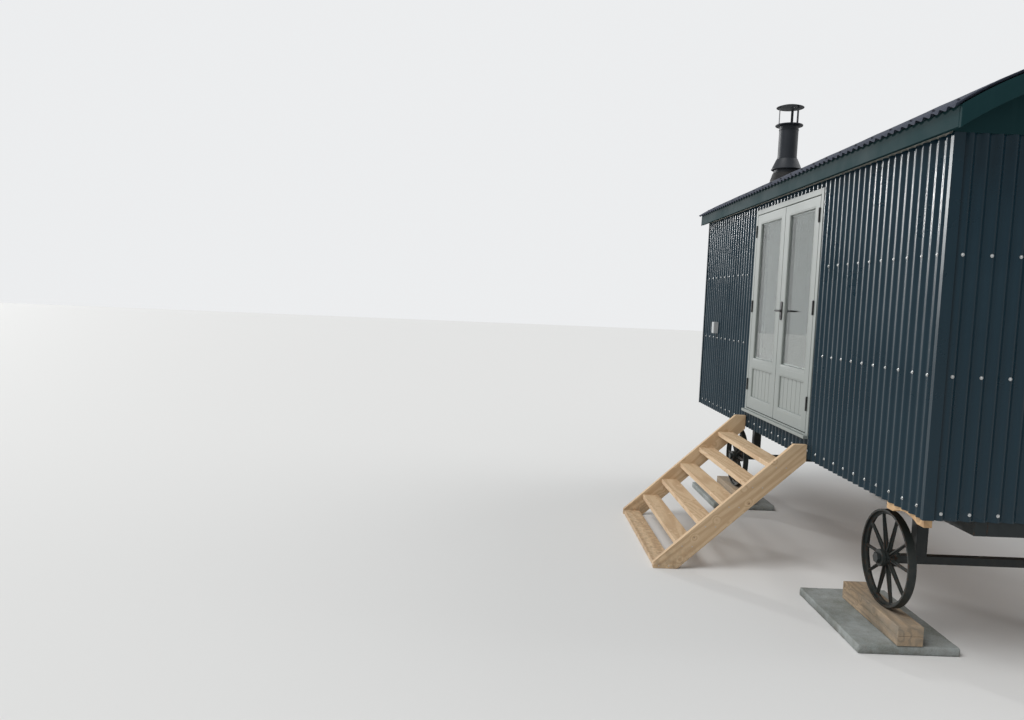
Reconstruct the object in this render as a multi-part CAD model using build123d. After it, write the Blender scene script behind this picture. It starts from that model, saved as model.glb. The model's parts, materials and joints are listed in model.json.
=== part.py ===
from build123d import *
import os
from math import asin, atan2, cos, degrees, radians, sin, sqrt, tan

os.makedirs("parts", exist_ok=True)

# Body of the hut: X runs along it, the doors face -Y, and Z = 0 is the ground under the stair's feet
hut_length = 4800.0
hut_width = 2290.0
floor_top = 1013.0
floor_thickness = 148.0
wall_thickness = 95.0

# Corrugated cladding
cladding_height = 2025.0
corrugation_pitch = 76.2
corrugation_depth = 19.0
cladding_thickness = 1.5
flashing_long_leg = 28.0
flashing_gable_leg = 60.0
flashing_thickness = 1.5

# Curved roof: its sheets and the boards under them lie in this many flats across the hut
roof_radius = 2238.0
roof_flats = 9
eave_rise = 105.0
eave_overhang = 90.0
gable_overhang = 150.0
roof_sheet_depth = 19.0
deck_depth = 90.0
fascia_height = 110.0
fascia_thickness = 25.0
fascia_projection = 55.0
bargeboard_depth = 98.0
bargeboard_thickness = 22.0
bargeboard_setback = 2.0
fit_gap = 0.3
cut_margin = 1.0

# Double door in the front wall
doorway_width = 1500.0
doorway_centre = 50.0
doorway_header = 49.0
frame_face = 45.0
frame_depth = 120.0
frame_projection = 6.0
door_stop = 14.0
sill_height = 34.0
sill_nose = 30.0
sill_nose_height = 24.0
door_thickness = 44.0
door_gap = 6.0
meeting_gap = 6.0
meeting_bevel = 2.0
stop_gap = 5.0
stile_width = 85.0
top_rail = 72.0
mid_rail = 75.0
mid_rail_rise = 447.0
bottom_rail = 95.0
glass_thickness = 20.0
glass_recess = 16.0
panel_thickness = 16.0
panel_recess = 12.0
panel_boards = 6
board_groove = 4.0

# Butt hinges, three to a leaf: from its foot, from its head and a little above halfway between
low_hinge_rise = 214.0
high_hinge_drop = 142.0
middle_hinge_lift = 17.5
hinge_height = 100.0
hinge_plate_width = 32.0
hinge_plate_thickness = 2.0
knuckle_radius = 6.5
knuckle_sides = 8
hinge_pin_radius = 4.0
pin_clearance = 0.05
knuckle_gap = 0.5

# Lever handle on the right leaf, by its height above the leaf's foot
lever_rise = 892.0
lever_backset = 45.0
lever_plate_width = 34.0
lever_plate_height = 150.0
lever_plate_thickness = 9.0
lever_neck_radius = 8.0
lever_standoff = 52.0
lever_length = 115.0
lever_thickness = 14.0
lever_chamfer = 4.0

# Flue, from the flashing on the roof up to the rain cap, of tubes with this many flats
flue_sides = 24
flue_x = -1380.0
flue_y = -673.0
flue_radius = 91.0
flue_wall = 25.0
boot_radius = 165.0
boot_top_radius = 124.0
boot_rise = 42.0
boot_drop = 130.0
flue_base_radius = 117.0
flue_base_height = 34.0
skirt_radius = 145.0
skirt_height = 119.0
pipe_height = 319.0
collar_radius = 131.0
collar_thickness = 12.0
cap_radius = 131.0
cap_height = 30.0
cap_gap = 165.0
strap_width = 25.0
strap_thickness = 3.0
strap_inset = 8.0
strap_count = 3
strap_turn = 28.0

# Chassis, axles and wheels
rail_spacing = 1640.0
rail_width = 70.0
rail_height = 80.0
right_wheel_x = 1800.0
left_wheel_x = -1300.0
wheel_track = 2014.0
wheel_radius = 295.0
tyre_width = 50.0
tyre_thickness = 14.0
hub_radius = 52.0
hub_length = 110.0
spoke_count = 10
spoke_root = 26.0
spoke_tip = 17.0
spoke_depth = 34.0
flats_per_spoke = 4
axle_size = 50.0
axle_end_radius = 22.0
axle_end_sides = 12
axle_clearance = 0.05
axle_side_play = 1.0
axle_nut_radius = 34.0
axle_nut_length = 20.0
post_size = 70.0

# Pads under the wheels: a slab with two layers of timber on it, their right-hand ends in line
pad_reach = 330.0
slab_length = 900.0
slab_width = 600.0
slab_height = 55.0
slab_reach = 160.0
timber_length = 730.0
timber_width = 150.0
timber_height = 57.5
timber_layers = 2
pad_gap = 0.3

# Stair up to the doors
stair_angle = 43.0
stringer_thickness = 38.0
stringer_drop = 43.0
stringer_head = 95.0
stringer_width = 156.0
stair_reach = 1085.0
tread_count = 6
first_tread_top = 40.0
tread_rise = 154.0
tread_depth = 145.0
tread_thickness = 38.0
tread_inset = 14.0

# Bare timber bearer under the cladding at the corner by the stair's side of the hut
bearer_length = 406.0
bearer_width = 45.0
bearer_height = 45.0
bearer_end = 70.0
bearer_waist = 16.0

# Small plain box on the front cladding, to the left of the doors
wall_box_x = -1815.0
wall_box_rise = 727.0
wall_box_width = 80.0
wall_box_height = 120.0
wall_box_depth = 50.0
wall_box_lid = 12.0
wall_box_rounding = 5.0

half_length = hut_length / 2
half_width = hut_width / 2
trough_depth = corrugation_depth - cladding_thickness
wall_outer_x = half_length - corrugation_depth
wall_outer_y = half_width - corrugation_depth
wall_inner_x = wall_outer_x - wall_thickness
wall_inner_y = wall_outer_y - wall_thickness
floor_bottom = floor_top - floor_thickness
cladding_bottom = floor_bottom
cladding_top = cladding_bottom + cladding_height
eave_height = cladding_top + eave_rise
roof_half_width = half_width + eave_overhang
roof_axis = eave_height - sqrt(roof_radius**2 - roof_half_width**2)
deck_radius = roof_radius - roof_sheet_depth
ceiling_radius = deck_radius - deck_depth
roof_end = half_length + gable_overhang
flat_turn = 2 * asin(roof_half_width / deck_radius) / roof_flats
flat_turns = [(i - (roof_flats - 1) / 2) * flat_turn for i in range(roof_flats)]
body_shift = (stair_reach - slab_reach) / 2
doorway_bottom = floor_top
doorway_top = cladding_top - doorway_header
stringer_top = floor_top - stringer_drop

door_left = doorway_centre - doorway_width / 2
door_right = doorway_centre + doorway_width / 2
frame_front = -half_width - frame_projection
leaf_bottom = doorway_bottom + sill_height + door_gap
leaf_top = doorway_top - frame_face - door_gap
leaf_width = (doorway_width - 2 * frame_face - 2 * door_gap - meeting_gap) / 2
mid_rail_top = leaf_bottom + mid_rail_rise
low_hinge = leaf_bottom + low_hinge_rise
high_hinge = leaf_top - high_hinge_drop
middle_hinge = (low_hinge + high_hinge) / 2 + middle_hinge_lift
lever_height = leaf_bottom + lever_rise

boot_top = roof_axis + sqrt(roof_radius**2 - flue_y**2) + boot_rise
skirt_bottom = boot_top + flue_base_height
skirt_top = skirt_bottom + skirt_height
flue_top = skirt_top + pipe_height
cap_bottom = flue_top + cap_gap


def block(x0, x1, y0, y1, z0, z1):
    """A box between two corners."""
    size = (x1 - x0, y1 - y0, z1 - z0)
    return Pos((x0 + x1) / 2, (y0 + y1) / 2, (z0 + z1) / 2) * Box(*size)


def arc_height(y, radius):
    """Height of a roof arc of this radius above the ground, at y across the hut."""
    return roof_axis + sqrt(radius**2 - y**2)


def arch_line(radius, reach):
    """A roof arc from one side of the hut to the other, in the plane across it."""
    end = arc_height(reach, radius)
    return ThreePointArc((-reach, end), (0, roof_axis + radius), (reach, end))


def layer_line(radius, reach):
    """Points across the hut on a layer of the roof, whose flats lie this far from the roof's axis."""
    end = roof_axis + min((radius - reach * sin(turn)) / cos(turn) for turn in flat_turns)
    corner = radius / cos(flat_turn / 2)
    turns = [turn + flat_turn / 2 for turn in flat_turns[:-1]]
    corners = [(corner * sin(turn), roof_axis + corner * cos(turn)) for turn in turns]
    return [(-reach, end), *corners, (reach, end)]


def under_layer(radius):
    """All the room under a layer of the roof, down to the ground."""
    reach = roof_half_width
    outline = Polyline(*layer_line(radius, reach), (reach, 0), (-reach, 0), close=True)
    return extrude(Plane.YZ.offset(-roof_end) * make_face(outline), 2 * roof_end)


def under_ceiling(shape):
    """Cuts a wall's top to the flats of the ceiling above it."""
    return shape & under_layer(ceiling_radius - fit_gap)


def corrugated(length, depths, back):
    """Outline of a corrugated sheet with these depths along each wave, packed flat behind to a depth."""
    start = -length / 2
    step = corrugation_pitch / len(depths)
    count = int(length / step) + 1
    line = [(start + i * step, depths[i % len(depths)]) for i in range(count)]
    before = line[-1][1]
    after = depths[count % len(depths)]
    part = length / step - (count - 1)
    if part * step > fit_gap:
        line.append((-start, before + (after - before) * part))
    return make_face(Polyline(*line, (-start, back), (start, back), close=True))


def cladding_panel(length, height):
    """A corrugated panel standing on its lower edge, facing -Y, centred on X."""
    return extrude(corrugated(length, (0, 0, trough_depth, trough_depth), corrugation_depth), height)


def roof_boards():
    """Ribs, boards and lining of the curved roof as one layer, flat from board to board."""
    reach = half_width + fascia_projection - fascia_thickness
    end = roof_end - bargeboard_thickness - bargeboard_setback
    outer = layer_line(deck_radius, reach)
    inner = layer_line(ceiling_radius, reach)
    outline = Polyline(*outer, *reversed(inner), close=True)
    return extrude(Plane.YZ.offset(-end) * make_face(outline), 2 * end)


def roof_sheet():
    """Corrugated sheets from eave to eave, mitred from flat to flat and cut upright at the eaves."""
    outline = corrugated(2 * roof_end, (0, trough_depth), roof_sheet_depth - fit_gap)
    far = 2 * roof_radius
    far_half = far * tan(flat_turn / 2)
    flat = extrude(Pos(0, 0, roof_radius) * Rot(-90, 0, 0) * outline, far_half, both=True)
    wedge = make_face(Polyline((0, 0), (-far_half, far), (far_half, far), close=True))
    flat &= extrude(Plane.YZ.offset(-roof_end) * wedge, 2 * roof_end)
    sheet = Part() + [Rot(degrees(turn), 0, 0) * flat for turn in flat_turns]
    room = block(-roof_end, roof_end, -roof_half_width, roof_half_width, 0, far)
    return Pos(0, 0, roof_axis) * sheet & room


def fascia(side):
    """Board along an eave, fixed to the ends of the ribs."""
    end = roof_end - bargeboard_thickness - bargeboard_setback
    outer = half_width + fascia_projection
    top = arc_height(outer, deck_radius) - fit_gap
    board = block(-end, end, outer - fascia_thickness, outer, top - fascia_height, top)
    return board if side > 0 else mirror(board, Plane.XZ)


def bargeboard(side):
    """Curved board under the edge of the roof sheet at a gable."""
    inner_x = roof_end - bargeboard_thickness - bargeboard_setback
    reach = half_width + fascia_projection
    upper = arch_line(deck_radius - fit_gap, reach)
    lower = arch_line(deck_radius - bargeboard_depth, reach)
    outline = upper + lower + Line(upper @ 0, lower @ 0) + Line(upper @ 1, lower @ 1)
    board = extrude(Plane.YZ.offset(inner_x) * make_face(outline), bargeboard_thickness)
    return board if side > 0 else mirror(board, Plane.YZ)


def gable_panel(side):
    """Flat panel above the cladding, up to the curve of the roof."""
    sheet = block(wall_outer_x, half_length, -half_width, half_width, cladding_top, roof_axis + roof_radius)
    sheet = under_ceiling(sheet)
    return sheet if side > 0 else mirror(sheet, Plane.YZ)


def long_wall(x0, x1, z0=floor_top):
    """Part of a long wall of studs and boards, on the back side."""
    return under_ceiling(block(x0, x1, wall_inner_y, wall_outer_y, z0, roof_axis + roof_radius))


def gable_wall():
    """Wall at the right-hand end, between the long walls."""
    return under_ceiling(
        block(wall_inner_x, wall_outer_x, -wall_inner_y, wall_inner_y, floor_top, roof_axis + roof_radius)
    )


def front_cladding():
    """Corrugated cladding of the door side, cut out round the door frame."""
    panel = cladding_panel(2 * wall_outer_x, cladding_top - cladding_bottom)
    panel = Pos(0, -half_width, cladding_bottom) * panel
    opening = block(door_left, door_right, -hut_width, 0, doorway_bottom, doorway_top)
    return panel - opening


def back_cladding():
    panel = cladding_panel(2 * wall_outer_x, cladding_top - cladding_bottom)
    return Pos(0, half_width, cladding_bottom) * Rot(0, 0, 180) * panel


def gable_cladding(side):
    panel = cladding_panel(2 * (wall_outer_y - cladding_thickness), cladding_top - cladding_bottom)
    return Pos(side * half_length, 0, cladding_bottom) * Rot(0, 0, 90 * side) * panel


def corner_flashings():
    """Folded angles over the four corners of the cladding."""
    outer_x = half_length + flashing_thickness
    outer_y = half_width + flashing_thickness
    angle = block(outer_x - flashing_long_leg, outer_x, half_width, outer_y, cladding_bottom, cladding_top)
    angle += block(half_length, outer_x, outer_y - flashing_gable_leg, outer_y, cladding_bottom, cladding_top)
    back = angle + mirror(angle, Plane.YZ)
    return back + mirror(back, Plane.XZ)


def door_jamb(side):
    """Side of the door frame with the stop that the leaf closes against."""
    x0 = door_left if side < 0 else door_right - frame_face
    jamb = block(x0, x0 + frame_face, frame_front, frame_front + frame_depth, doorway_bottom, doorway_top)
    stop_front = frame_front + door_thickness + stop_gap
    s0 = x0 + frame_face if side < 0 else x0 - door_stop
    stop = block(s0, s0 + door_stop, stop_front, frame_front + frame_depth, doorway_bottom + sill_height,
                 doorway_top - frame_face)
    return jamb + stop


def door_head():
    x0 = door_left + frame_face
    x1 = door_right - frame_face
    head = block(x0, x1, frame_front, frame_front + frame_depth, doorway_top - frame_face, doorway_top)
    stop_front = frame_front + door_thickness + stop_gap
    stop = block(x0 + door_stop, x1 - door_stop, stop_front, frame_front + frame_depth,
                 doorway_top - frame_face - door_stop, doorway_top - frame_face)
    return head + stop


def door_sill():
    """Sill with a nose that throws the rain clear of the cladding."""
    x0 = door_left + frame_face
    x1 = door_right - frame_face
    sill = block(x0, x1, frame_front, frame_front + frame_depth, doorway_bottom, doorway_bottom + sill_height)
    nose = block(door_left, door_right, frame_front - sill_nose, frame_front, doorway_bottom,
                 doorway_bottom + sill_nose_height)
    return sill + nose


def leaf_edges(side):
    """Hinge edge and meeting edge of a leaf, in X."""
    if side < 0:
        hinge = door_left + frame_face + door_gap
        return hinge, hinge + leaf_width
    hinge = door_right - frame_face - door_gap
    return hinge, hinge - leaf_width


def leaf_openings(side):
    """Glass opening and panel opening of a leaf, as (x0, x1, z0, z1)."""
    low, high = sorted(leaf_edges(side))
    x0 = low + stile_width
    x1 = high - stile_width
    return (
        (x0, x1, mid_rail_top, leaf_top - top_rail),
        (x0, x1, leaf_bottom + bottom_rail, mid_rail_top - mid_rail),
    )


def door_leaf(side):
    """Stiles and rails of one leaf, with its meeting edge bevelled."""
    hinge, meeting = leaf_edges(side)
    back = frame_front + door_thickness
    outline = Polyline(
        (hinge, frame_front),
        (meeting, frame_front),
        (meeting + side * meeting_bevel, back),
        (hinge, back),
        close=True,
    )
    leaf = Pos(0, 0, leaf_bottom) * extrude(make_face(outline), leaf_top - leaf_bottom)
    for x0, x1, z0, z1 in leaf_openings(side):
        leaf -= block(x0, x1, frame_front - cut_margin, back + cut_margin, z0, z1)
    return leaf


def door_glass(side):
    x0, x1, z0, z1 = leaf_openings(side)[0]
    front = frame_front + glass_recess
    return block(x0, x1, front, front + glass_thickness, z0, z1)


def door_panel(side):
    """Panel of upright boards with V-grooves between them."""
    x0, x1, z0, z1 = leaf_openings(side)[1]
    front = frame_front + panel_recess
    panel = block(x0, x1, front, front + panel_thickness, z0, z1)
    board = (x1 - x0) / panel_boards
    for i in range(1, panel_boards):
        x = x0 + i * board
        mouth = ((x - board_groove, front), (x + board_groove, front))
        groove = make_face(Polyline(*mouth, (x, front + board_groove), close=True))
        panel -= Pos(0, 0, z0) * extrude(groove, z1 - z0)
    return panel


def hinge_axis(side):
    """Centre of a leaf's hinge knuckles, in X and Y."""
    hinge = leaf_edges(side)[0]
    return hinge + side * door_gap / 2, frame_front - knuckle_radius


def rolled(side, radius, low, high, to_corners=True):
    """A round of the hinge on its axis between two heights, its radius to its corners or to its flats."""
    outline = RegularPolygon(radius, knuckle_sides, to_corners)
    return Pos(*hinge_axis(side), low) * extrude(outline, high - low)


def hinge_plate(side, face, inward, base, spans):
    """Plate of a hinge in the gap beside the leaf, with a tab forward to each of its knuckles."""
    front = frame_front + knuckle_gap
    x0, x1 = sorted((face, face + inward * hinge_plate_thickness))
    plate = block(x0, x1, front, frame_front + hinge_plate_width, base, base + hinge_height)
    for low, high in spans:
        plate += block(x0, x1, hinge_axis(side)[1], front, low, high)
    return plate


def hinge_halves(side):
    """Hinges of a leaf as a fixed half with the pin and a half on the leaf."""
    leaf_edge = leaf_edges(side)[0]
    jamb_edge = leaf_edge + side * door_gap
    third = hinge_height / 3
    fixed = Part()
    moving = Part()
    for middle in (low_hinge, middle_hinge, high_hinge):
        base = middle - hinge_height / 2
        top = base + hinge_height
        outer = ((base, base + third), (top - third, top))
        inner = ((base + third + knuckle_gap, top - third - knuckle_gap),)
        fixed += hinge_plate(side, jamb_edge, -side, base, outer) + rolled(side, hinge_pin_radius, base, top)
        fixed += [rolled(side, knuckle_radius, *span) for span in outer]
        half = hinge_plate(side, leaf_edge, side, base, inner) + rolled(side, knuckle_radius, *inner[0])
        moving += half - rolled(side, hinge_pin_radius + pin_clearance, base, top, False)
    return fixed, moving


def lever_axis():
    """Centre of the lever handle, in X."""
    return leaf_edges(1)[1] + lever_backset


def lever_plate():
    """Back plate of the lever handle, with the hole that the neck turns in."""
    x = lever_axis()
    plate = block(x - lever_plate_width / 2, x + lever_plate_width / 2,
                  frame_front - lever_plate_thickness, frame_front,
                  lever_height - lever_plate_height / 2, lever_height + lever_plate_height / 2)
    hole = Pos(x, frame_front, lever_height) * Rot(90, 0, 0) * Cylinder(
        lever_neck_radius + pin_clearance, 2 * lever_plate_thickness
    )
    return plate - hole


def lever_handle():
    """Neck and lever of the handle; the lever points away from the meeting edge."""
    x = lever_axis()
    neck = Pos(x, frame_front - pad_gap, lever_height) * Rot(90, 0, 0) * Cylinder(
        lever_neck_radius, lever_standoff, align=LOW
    )
    front = frame_front - lever_standoff
    half = lever_thickness / 2
    arm = block(x - lever_neck_radius, x + lever_length, front - half, front + half,
                lever_height - lever_neck_radius, lever_height + lever_neck_radius)
    arm = chamfer(arm.edges().filter_by(Axis.X), lever_chamfer)
    return neck + arm


def flue_round(radius, z0, height, taper=0):
    """Solid round of the flue, standing at z0."""
    return Pos(flue_x, flue_y, z0) * extrude(RegularPolygon(radius, flue_sides), height, taper=taper)


def flue_tube(radius, wall, z0, height):
    return flue_round(radius, z0, height) - flue_round(radius - wall, z0, height)


def flue_boot():
    """Flashing that narrows from the curved roof up to the flue."""
    slope = degrees(atan2(boot_radius - boot_top_radius, boot_drop))
    cone = flue_round(boot_radius, boot_top - boot_drop, boot_drop, slope)
    return cone - under_layer(roof_radius + pad_gap)


def flue_skirt():
    """Storm collar: a folded cone that sheds rain off the pipe, with the wide lower tube it covers."""
    slope = degrees(atan2(skirt_radius - flue_radius, skirt_height))
    lower = flue_round(flue_base_radius, boot_top, flue_base_height)
    return lower + flue_round(skirt_radius, skirt_bottom, skirt_height, slope)


def flue_pipe():
    """Double-walled pipe with a collar round its mouth."""
    collar_wall = collar_radius - flue_radius + flue_wall
    pipe = flue_tube(flue_radius, flue_wall, skirt_top, pipe_height)
    return pipe + flue_tube(collar_radius, collar_wall, flue_top - collar_thickness, collar_thickness)


def flue_cowl():
    """Rain cap held over the pipe on upright straps."""
    cap = flue_round(cap_radius, cap_bottom, cap_height)
    inner = flue_radius + strap_inset
    for i in range(strap_count):
        strap = block(inner, inner + strap_thickness, -strap_width / 2, strap_width / 2, flue_top,
                      cap_bottom)
        cap += Pos(flue_x, flue_y, 0) * Rot(0, 0, strap_turn + i * 360 / strap_count) * strap
    return cap


def chassis_rails():
    """Two rails that run the length of the hut under the floor."""
    rails = Part()
    for y in (-rail_spacing / 2, rail_spacing / 2):
        rails += block(-wall_outer_x, wall_outer_x, y - rail_width / 2, y + rail_width / 2,
                       floor_bottom - rail_height, floor_bottom)
    return rails


def cross_members():
    """Members between the rails at each end and over each axle."""
    reach = rail_spacing / 2 - rail_width / 2
    members = Part()
    for x in (-wall_outer_x + rail_width / 2, left_wheel_x, right_wheel_x, wall_outer_x - rail_width / 2):
        members += block(x - rail_width / 2, x + rail_width / 2, -reach, reach,
                         floor_bottom - rail_height, floor_bottom)
    return members


def axle(x):
    """Axle beam with turned ends and the nuts that keep the wheels on."""
    height = wheel_height()
    shoulder = wheel_track / 2 - hub_length / 2 - axle_side_play
    stub_end = wheel_track / 2 + hub_length / 2 + axle_side_play
    beam = block(x - axle_size / 2, x + axle_size / 2, -shoulder, shoulder, height - axle_size / 2,
                 height + axle_size / 2)
    end = extrude(RegularPolygon(axle_end_radius, axle_end_sides), stub_end - shoulder)
    nut = extrude(RegularPolygon(axle_nut_radius, 6), axle_nut_length)
    for way in (-1, 1):
        beam += Pos(x, way * shoulder, height) * Rot(-90 * way, 0, 0) * end
        beam += Pos(x, way * stub_end, height) * Rot(-90 * way, 0, 0) * nut
    return beam


def axle_posts():
    """Posts that hang the axles from the rails."""
    posts = Part()
    for x in (left_wheel_x, right_wheel_x):
        for y in (-rail_spacing / 2, rail_spacing / 2):
            posts += block(x - post_size / 2, x + post_size / 2, y - post_size / 2, y + post_size / 2,
                           wheel_height() + axle_size / 2, floor_bottom - rail_height)
    return posts


def wheel_height():
    """Height of the wheel centres above the ground."""
    return slab_height + timber_layers * timber_height + pad_gap + wheel_radius


def spoke():
    """One flat spoke that narrows from the hub to the tyre."""
    root = (hub_radius / 2, spoke_root / 2)
    tip = (wheel_radius - tyre_thickness / 2, spoke_tip / 2)
    outline = Polyline(root, tip, (tip[0], -tip[1]), (root[0], -root[1]), close=True)
    return extrude(make_face(outline), spoke_depth / 2, both=True)


def wheel(x, y_side):
    """Cast wheel on its axle end; the spokes meet flats on its hub and inside its tyre."""
    hub_turn = 180 / spoke_count
    inner_flats = flats_per_spoke * spoke_count
    inside = RegularPolygon(wheel_radius - tyre_thickness, inner_flats, False, hub_turn / flats_per_spoke)
    body = Cylinder(wheel_radius, tyre_width) - extrude(inside, tyre_width, both=True)
    body += extrude(RegularPolygon(hub_radius, spoke_count, rotation=hub_turn), hub_length / 2, both=True)
    body += [Rot(0, 0, i * 360 / spoke_count) * spoke() for i in range(spoke_count)]
    bore = RegularPolygon(axle_end_radius + axle_clearance, axle_end_sides, False)
    body -= extrude(bore, hub_length, both=True)
    return Pos(x, y_side * wheel_track / 2, wheel_height()) * Rot(90, 0, 0) * body


def pad_slabs():
    """Slab under each wheel, reaching out past the side of the hut."""
    outer = half_width + slab_reach
    slabs = Part()
    for x in (left_wheel_x, right_wheel_x):
        end = x + pad_reach
        slab = block(end - slab_length, end, outer - slab_width, outer, 0, slab_height)
        slabs += slab + mirror(slab, Plane.XZ)
    return slabs


def pad_timbers(layer):
    """One layer of timber under each wheel."""
    base = slab_height + layer * timber_height
    timbers = Part()
    for x in (left_wheel_x, right_wheel_x):
        for y in (-wheel_track / 2, wheel_track / 2):
            centre = x + pad_reach - timber_length / 2
            timbers += Pos(centre, y, base) * Box(timber_length, timber_width, timber_height, align=LOW)
    return timbers


def stair_stringer(side):
    """Sloping side board of the stair, cut level at its head and foot."""
    slope = tan(radians(stair_angle))
    wall = -half_width
    drop = stringer_width / cos(radians(stair_angle))
    head_out = wall - stringer_head
    low_at_wall = stringer_top + stringer_head * slope - drop
    tip = wall - stair_reach
    tip_height = stringer_top - (stair_reach - stringer_head) * slope
    foot_in = wall - low_at_wall / slope
    outline = Polyline(
        (wall, stringer_top),
        (head_out, stringer_top),
        (tip, tip_height),
        (tip, 0),
        (foot_in, 0),
        (wall, low_at_wall),
        close=True,
    )
    x0 = door_left if side < 0 else door_right - stringer_thickness
    return extrude(Plane.YZ.offset(x0) * make_face(outline), stringer_thickness)


def stair_treads():
    """Treads housed between the stringers, just behind their upper edge."""
    treads = Part()
    x0 = door_left + stringer_thickness
    x1 = door_right - stringer_thickness
    for i in range(tread_count):
        top = first_tread_top + i * tread_rise
        edge = stringer_head + (stringer_top - top) / tan(radians(stair_angle))
        front = -half_width - edge + tread_inset
        treads += block(x0, x1, front, front + tread_depth, top - tread_thickness, top)
    return treads


def corner_bearer():
    """Bare timber bearer under the front edge of the floor at the right corner, hollowed below."""
    x1 = wall_outer_x
    x0 = x1 - bearer_length
    low = floor_bottom - bearer_height
    waist = floor_bottom - bearer_waist
    arch = ThreePointArc((x0 + bearer_end, low), ((x0 + x1) / 2, waist), (x1 - bearer_end, low))
    outline = arch + Polyline((x1 - bearer_end, low), (x1, low), (x1, floor_bottom), (x0, floor_bottom),
                              (x0, low), (x0 + bearer_end, low))
    board = extrude(Plane.XZ * make_face(outline), bearer_width)
    return Pos(0, -wall_outer_y + bearer_width, 0) * board


def wall_box():
    """Plain closed box for a cable's end, with the edges of its lid chamfered."""
    x0 = wall_box_x - wall_box_width / 2
    z0 = floor_top + wall_box_rise - wall_box_height / 2
    front = -half_width - wall_box_depth
    base = block(x0, x0 + wall_box_width, front + wall_box_lid, -half_width, z0, z0 + wall_box_height)
    lid = block(x0, x0 + wall_box_width, front, front + wall_box_lid, z0, z0 + wall_box_height)
    return base + chamfer(lid.faces().sort_by(Axis.Y)[0].edges(), wall_box_rounding)


LOW = (Align.CENTER, Align.CENTER, Align.MIN)

left_fixed, left_moving = hinge_halves(-1)
right_fixed, right_moving = hinge_halves(1)
head_front = mirror(long_wall(door_left, door_right, doorway_top), Plane.XZ)

nodes = {
    "floor_deck": block(-wall_outer_x, wall_outer_x, -wall_outer_y, wall_outer_y, floor_bottom, floor_top),
    "front_wall_left": mirror(long_wall(-wall_outer_x, door_left), Plane.XZ),
    "front_wall_right": mirror(long_wall(door_right, wall_outer_x), Plane.XZ),
    "front_wall_head": head_front,
    "back_wall": long_wall(-wall_outer_x, wall_outer_x),
    "right_wall": gable_wall(),
    "left_wall": mirror(gable_wall(), Plane.YZ),
    "front_cladding": front_cladding(),
    "back_cladding": back_cladding(),
    "right_cladding": gable_cladding(1),
    "left_cladding": gable_cladding(-1),
    "corner_flashings": corner_flashings(),
    "right_gable_panel": gable_panel(1),
    "left_gable_panel": gable_panel(-1),
    "roof_boards": roof_boards(),
    "roof_sheet": roof_sheet(),
    "front_fascia": fascia(-1),
    "back_fascia": fascia(1),
    "right_bargeboard": bargeboard(1),
    "left_bargeboard": bargeboard(-1),
    "door_jamb_left": door_jamb(-1),
    "door_jamb_right": door_jamb(1),
    "door_head": door_head(),
    "door_sill": door_sill(),
    "hinges_on_frame": left_fixed + right_fixed,
    "left_door_leaf": door_leaf(-1),
    "left_door_glass": door_glass(-1),
    "left_door_panel": door_panel(-1),
    "left_door_hinges": left_moving,
    "right_door_leaf": door_leaf(1),
    "right_door_glass": door_glass(1),
    "right_door_panel": door_panel(1),
    "right_door_hinges": right_moving,
    "lever_plate": lever_plate(),
    "lever_handle": lever_handle(),
    "flue_boot": flue_boot(),
    "flue_skirt": flue_skirt(),
    "flue_pipe": flue_pipe(),
    "flue_cowl": flue_cowl(),
    "chassis_rails": chassis_rails(),
    "cross_members": cross_members(),
    "axle_posts": axle_posts(),
    "right_axle": axle(right_wheel_x),
    "left_axle": axle(left_wheel_x),
    "wheel_front_right": wheel(right_wheel_x, -1),
    "wheel_front_left": wheel(left_wheel_x, -1),
    "wheel_back_right": wheel(right_wheel_x, 1),
    "wheel_back_left": wheel(left_wheel_x, 1),
    "pad_slabs": pad_slabs(),
    "pad_lower_timbers": pad_timbers(0),
    "pad_upper_timbers": pad_timbers(1),
    "stringer_left": stair_stringer(-1),
    "stringer_right": stair_stringer(1),
    "stair_treads": stair_treads(),
    "corner_bearer": corner_bearer(),
    "wall_box": wall_box(),
}

for name, shape in nodes.items():
    export_step(Pos(0, body_shift, 0) * shape, f"parts/{name}.step")
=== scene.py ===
import json
from contextlib import contextmanager
from math import asin, ceil, cos, pi, radians, sin, tan

import bmesh
import bpy
from mathutils import Matrix, Vector


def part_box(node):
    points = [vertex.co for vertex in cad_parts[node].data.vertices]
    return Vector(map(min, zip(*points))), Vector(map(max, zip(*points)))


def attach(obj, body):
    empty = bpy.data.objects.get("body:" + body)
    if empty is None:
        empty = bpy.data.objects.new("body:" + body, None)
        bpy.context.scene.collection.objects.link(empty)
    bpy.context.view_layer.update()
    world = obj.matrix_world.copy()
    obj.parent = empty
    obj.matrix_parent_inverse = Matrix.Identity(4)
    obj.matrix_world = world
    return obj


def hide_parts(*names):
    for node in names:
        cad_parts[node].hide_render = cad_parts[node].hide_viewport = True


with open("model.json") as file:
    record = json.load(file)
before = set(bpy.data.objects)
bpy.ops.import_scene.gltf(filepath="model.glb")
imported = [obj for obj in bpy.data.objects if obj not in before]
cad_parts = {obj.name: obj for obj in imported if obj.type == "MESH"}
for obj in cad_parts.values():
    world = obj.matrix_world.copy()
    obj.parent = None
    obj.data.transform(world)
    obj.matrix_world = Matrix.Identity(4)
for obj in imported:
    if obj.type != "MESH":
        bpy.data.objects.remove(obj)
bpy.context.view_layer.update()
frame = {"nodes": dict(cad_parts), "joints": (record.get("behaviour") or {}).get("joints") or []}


# Camera
# The photographer stands off the right-hand gable, out from the doors' side, and holds the
# camera a little under the eaves. It looks along the hut, tilted down and slightly rolled.
camera_place = Vector((6.4165, -2.9347, 1.94))
camera_turn = 0.0102
camera_tilt = 0.0766
camera_roll = -0.0406
camera_sensor = 36.0
camera_lens = 27.24

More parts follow.
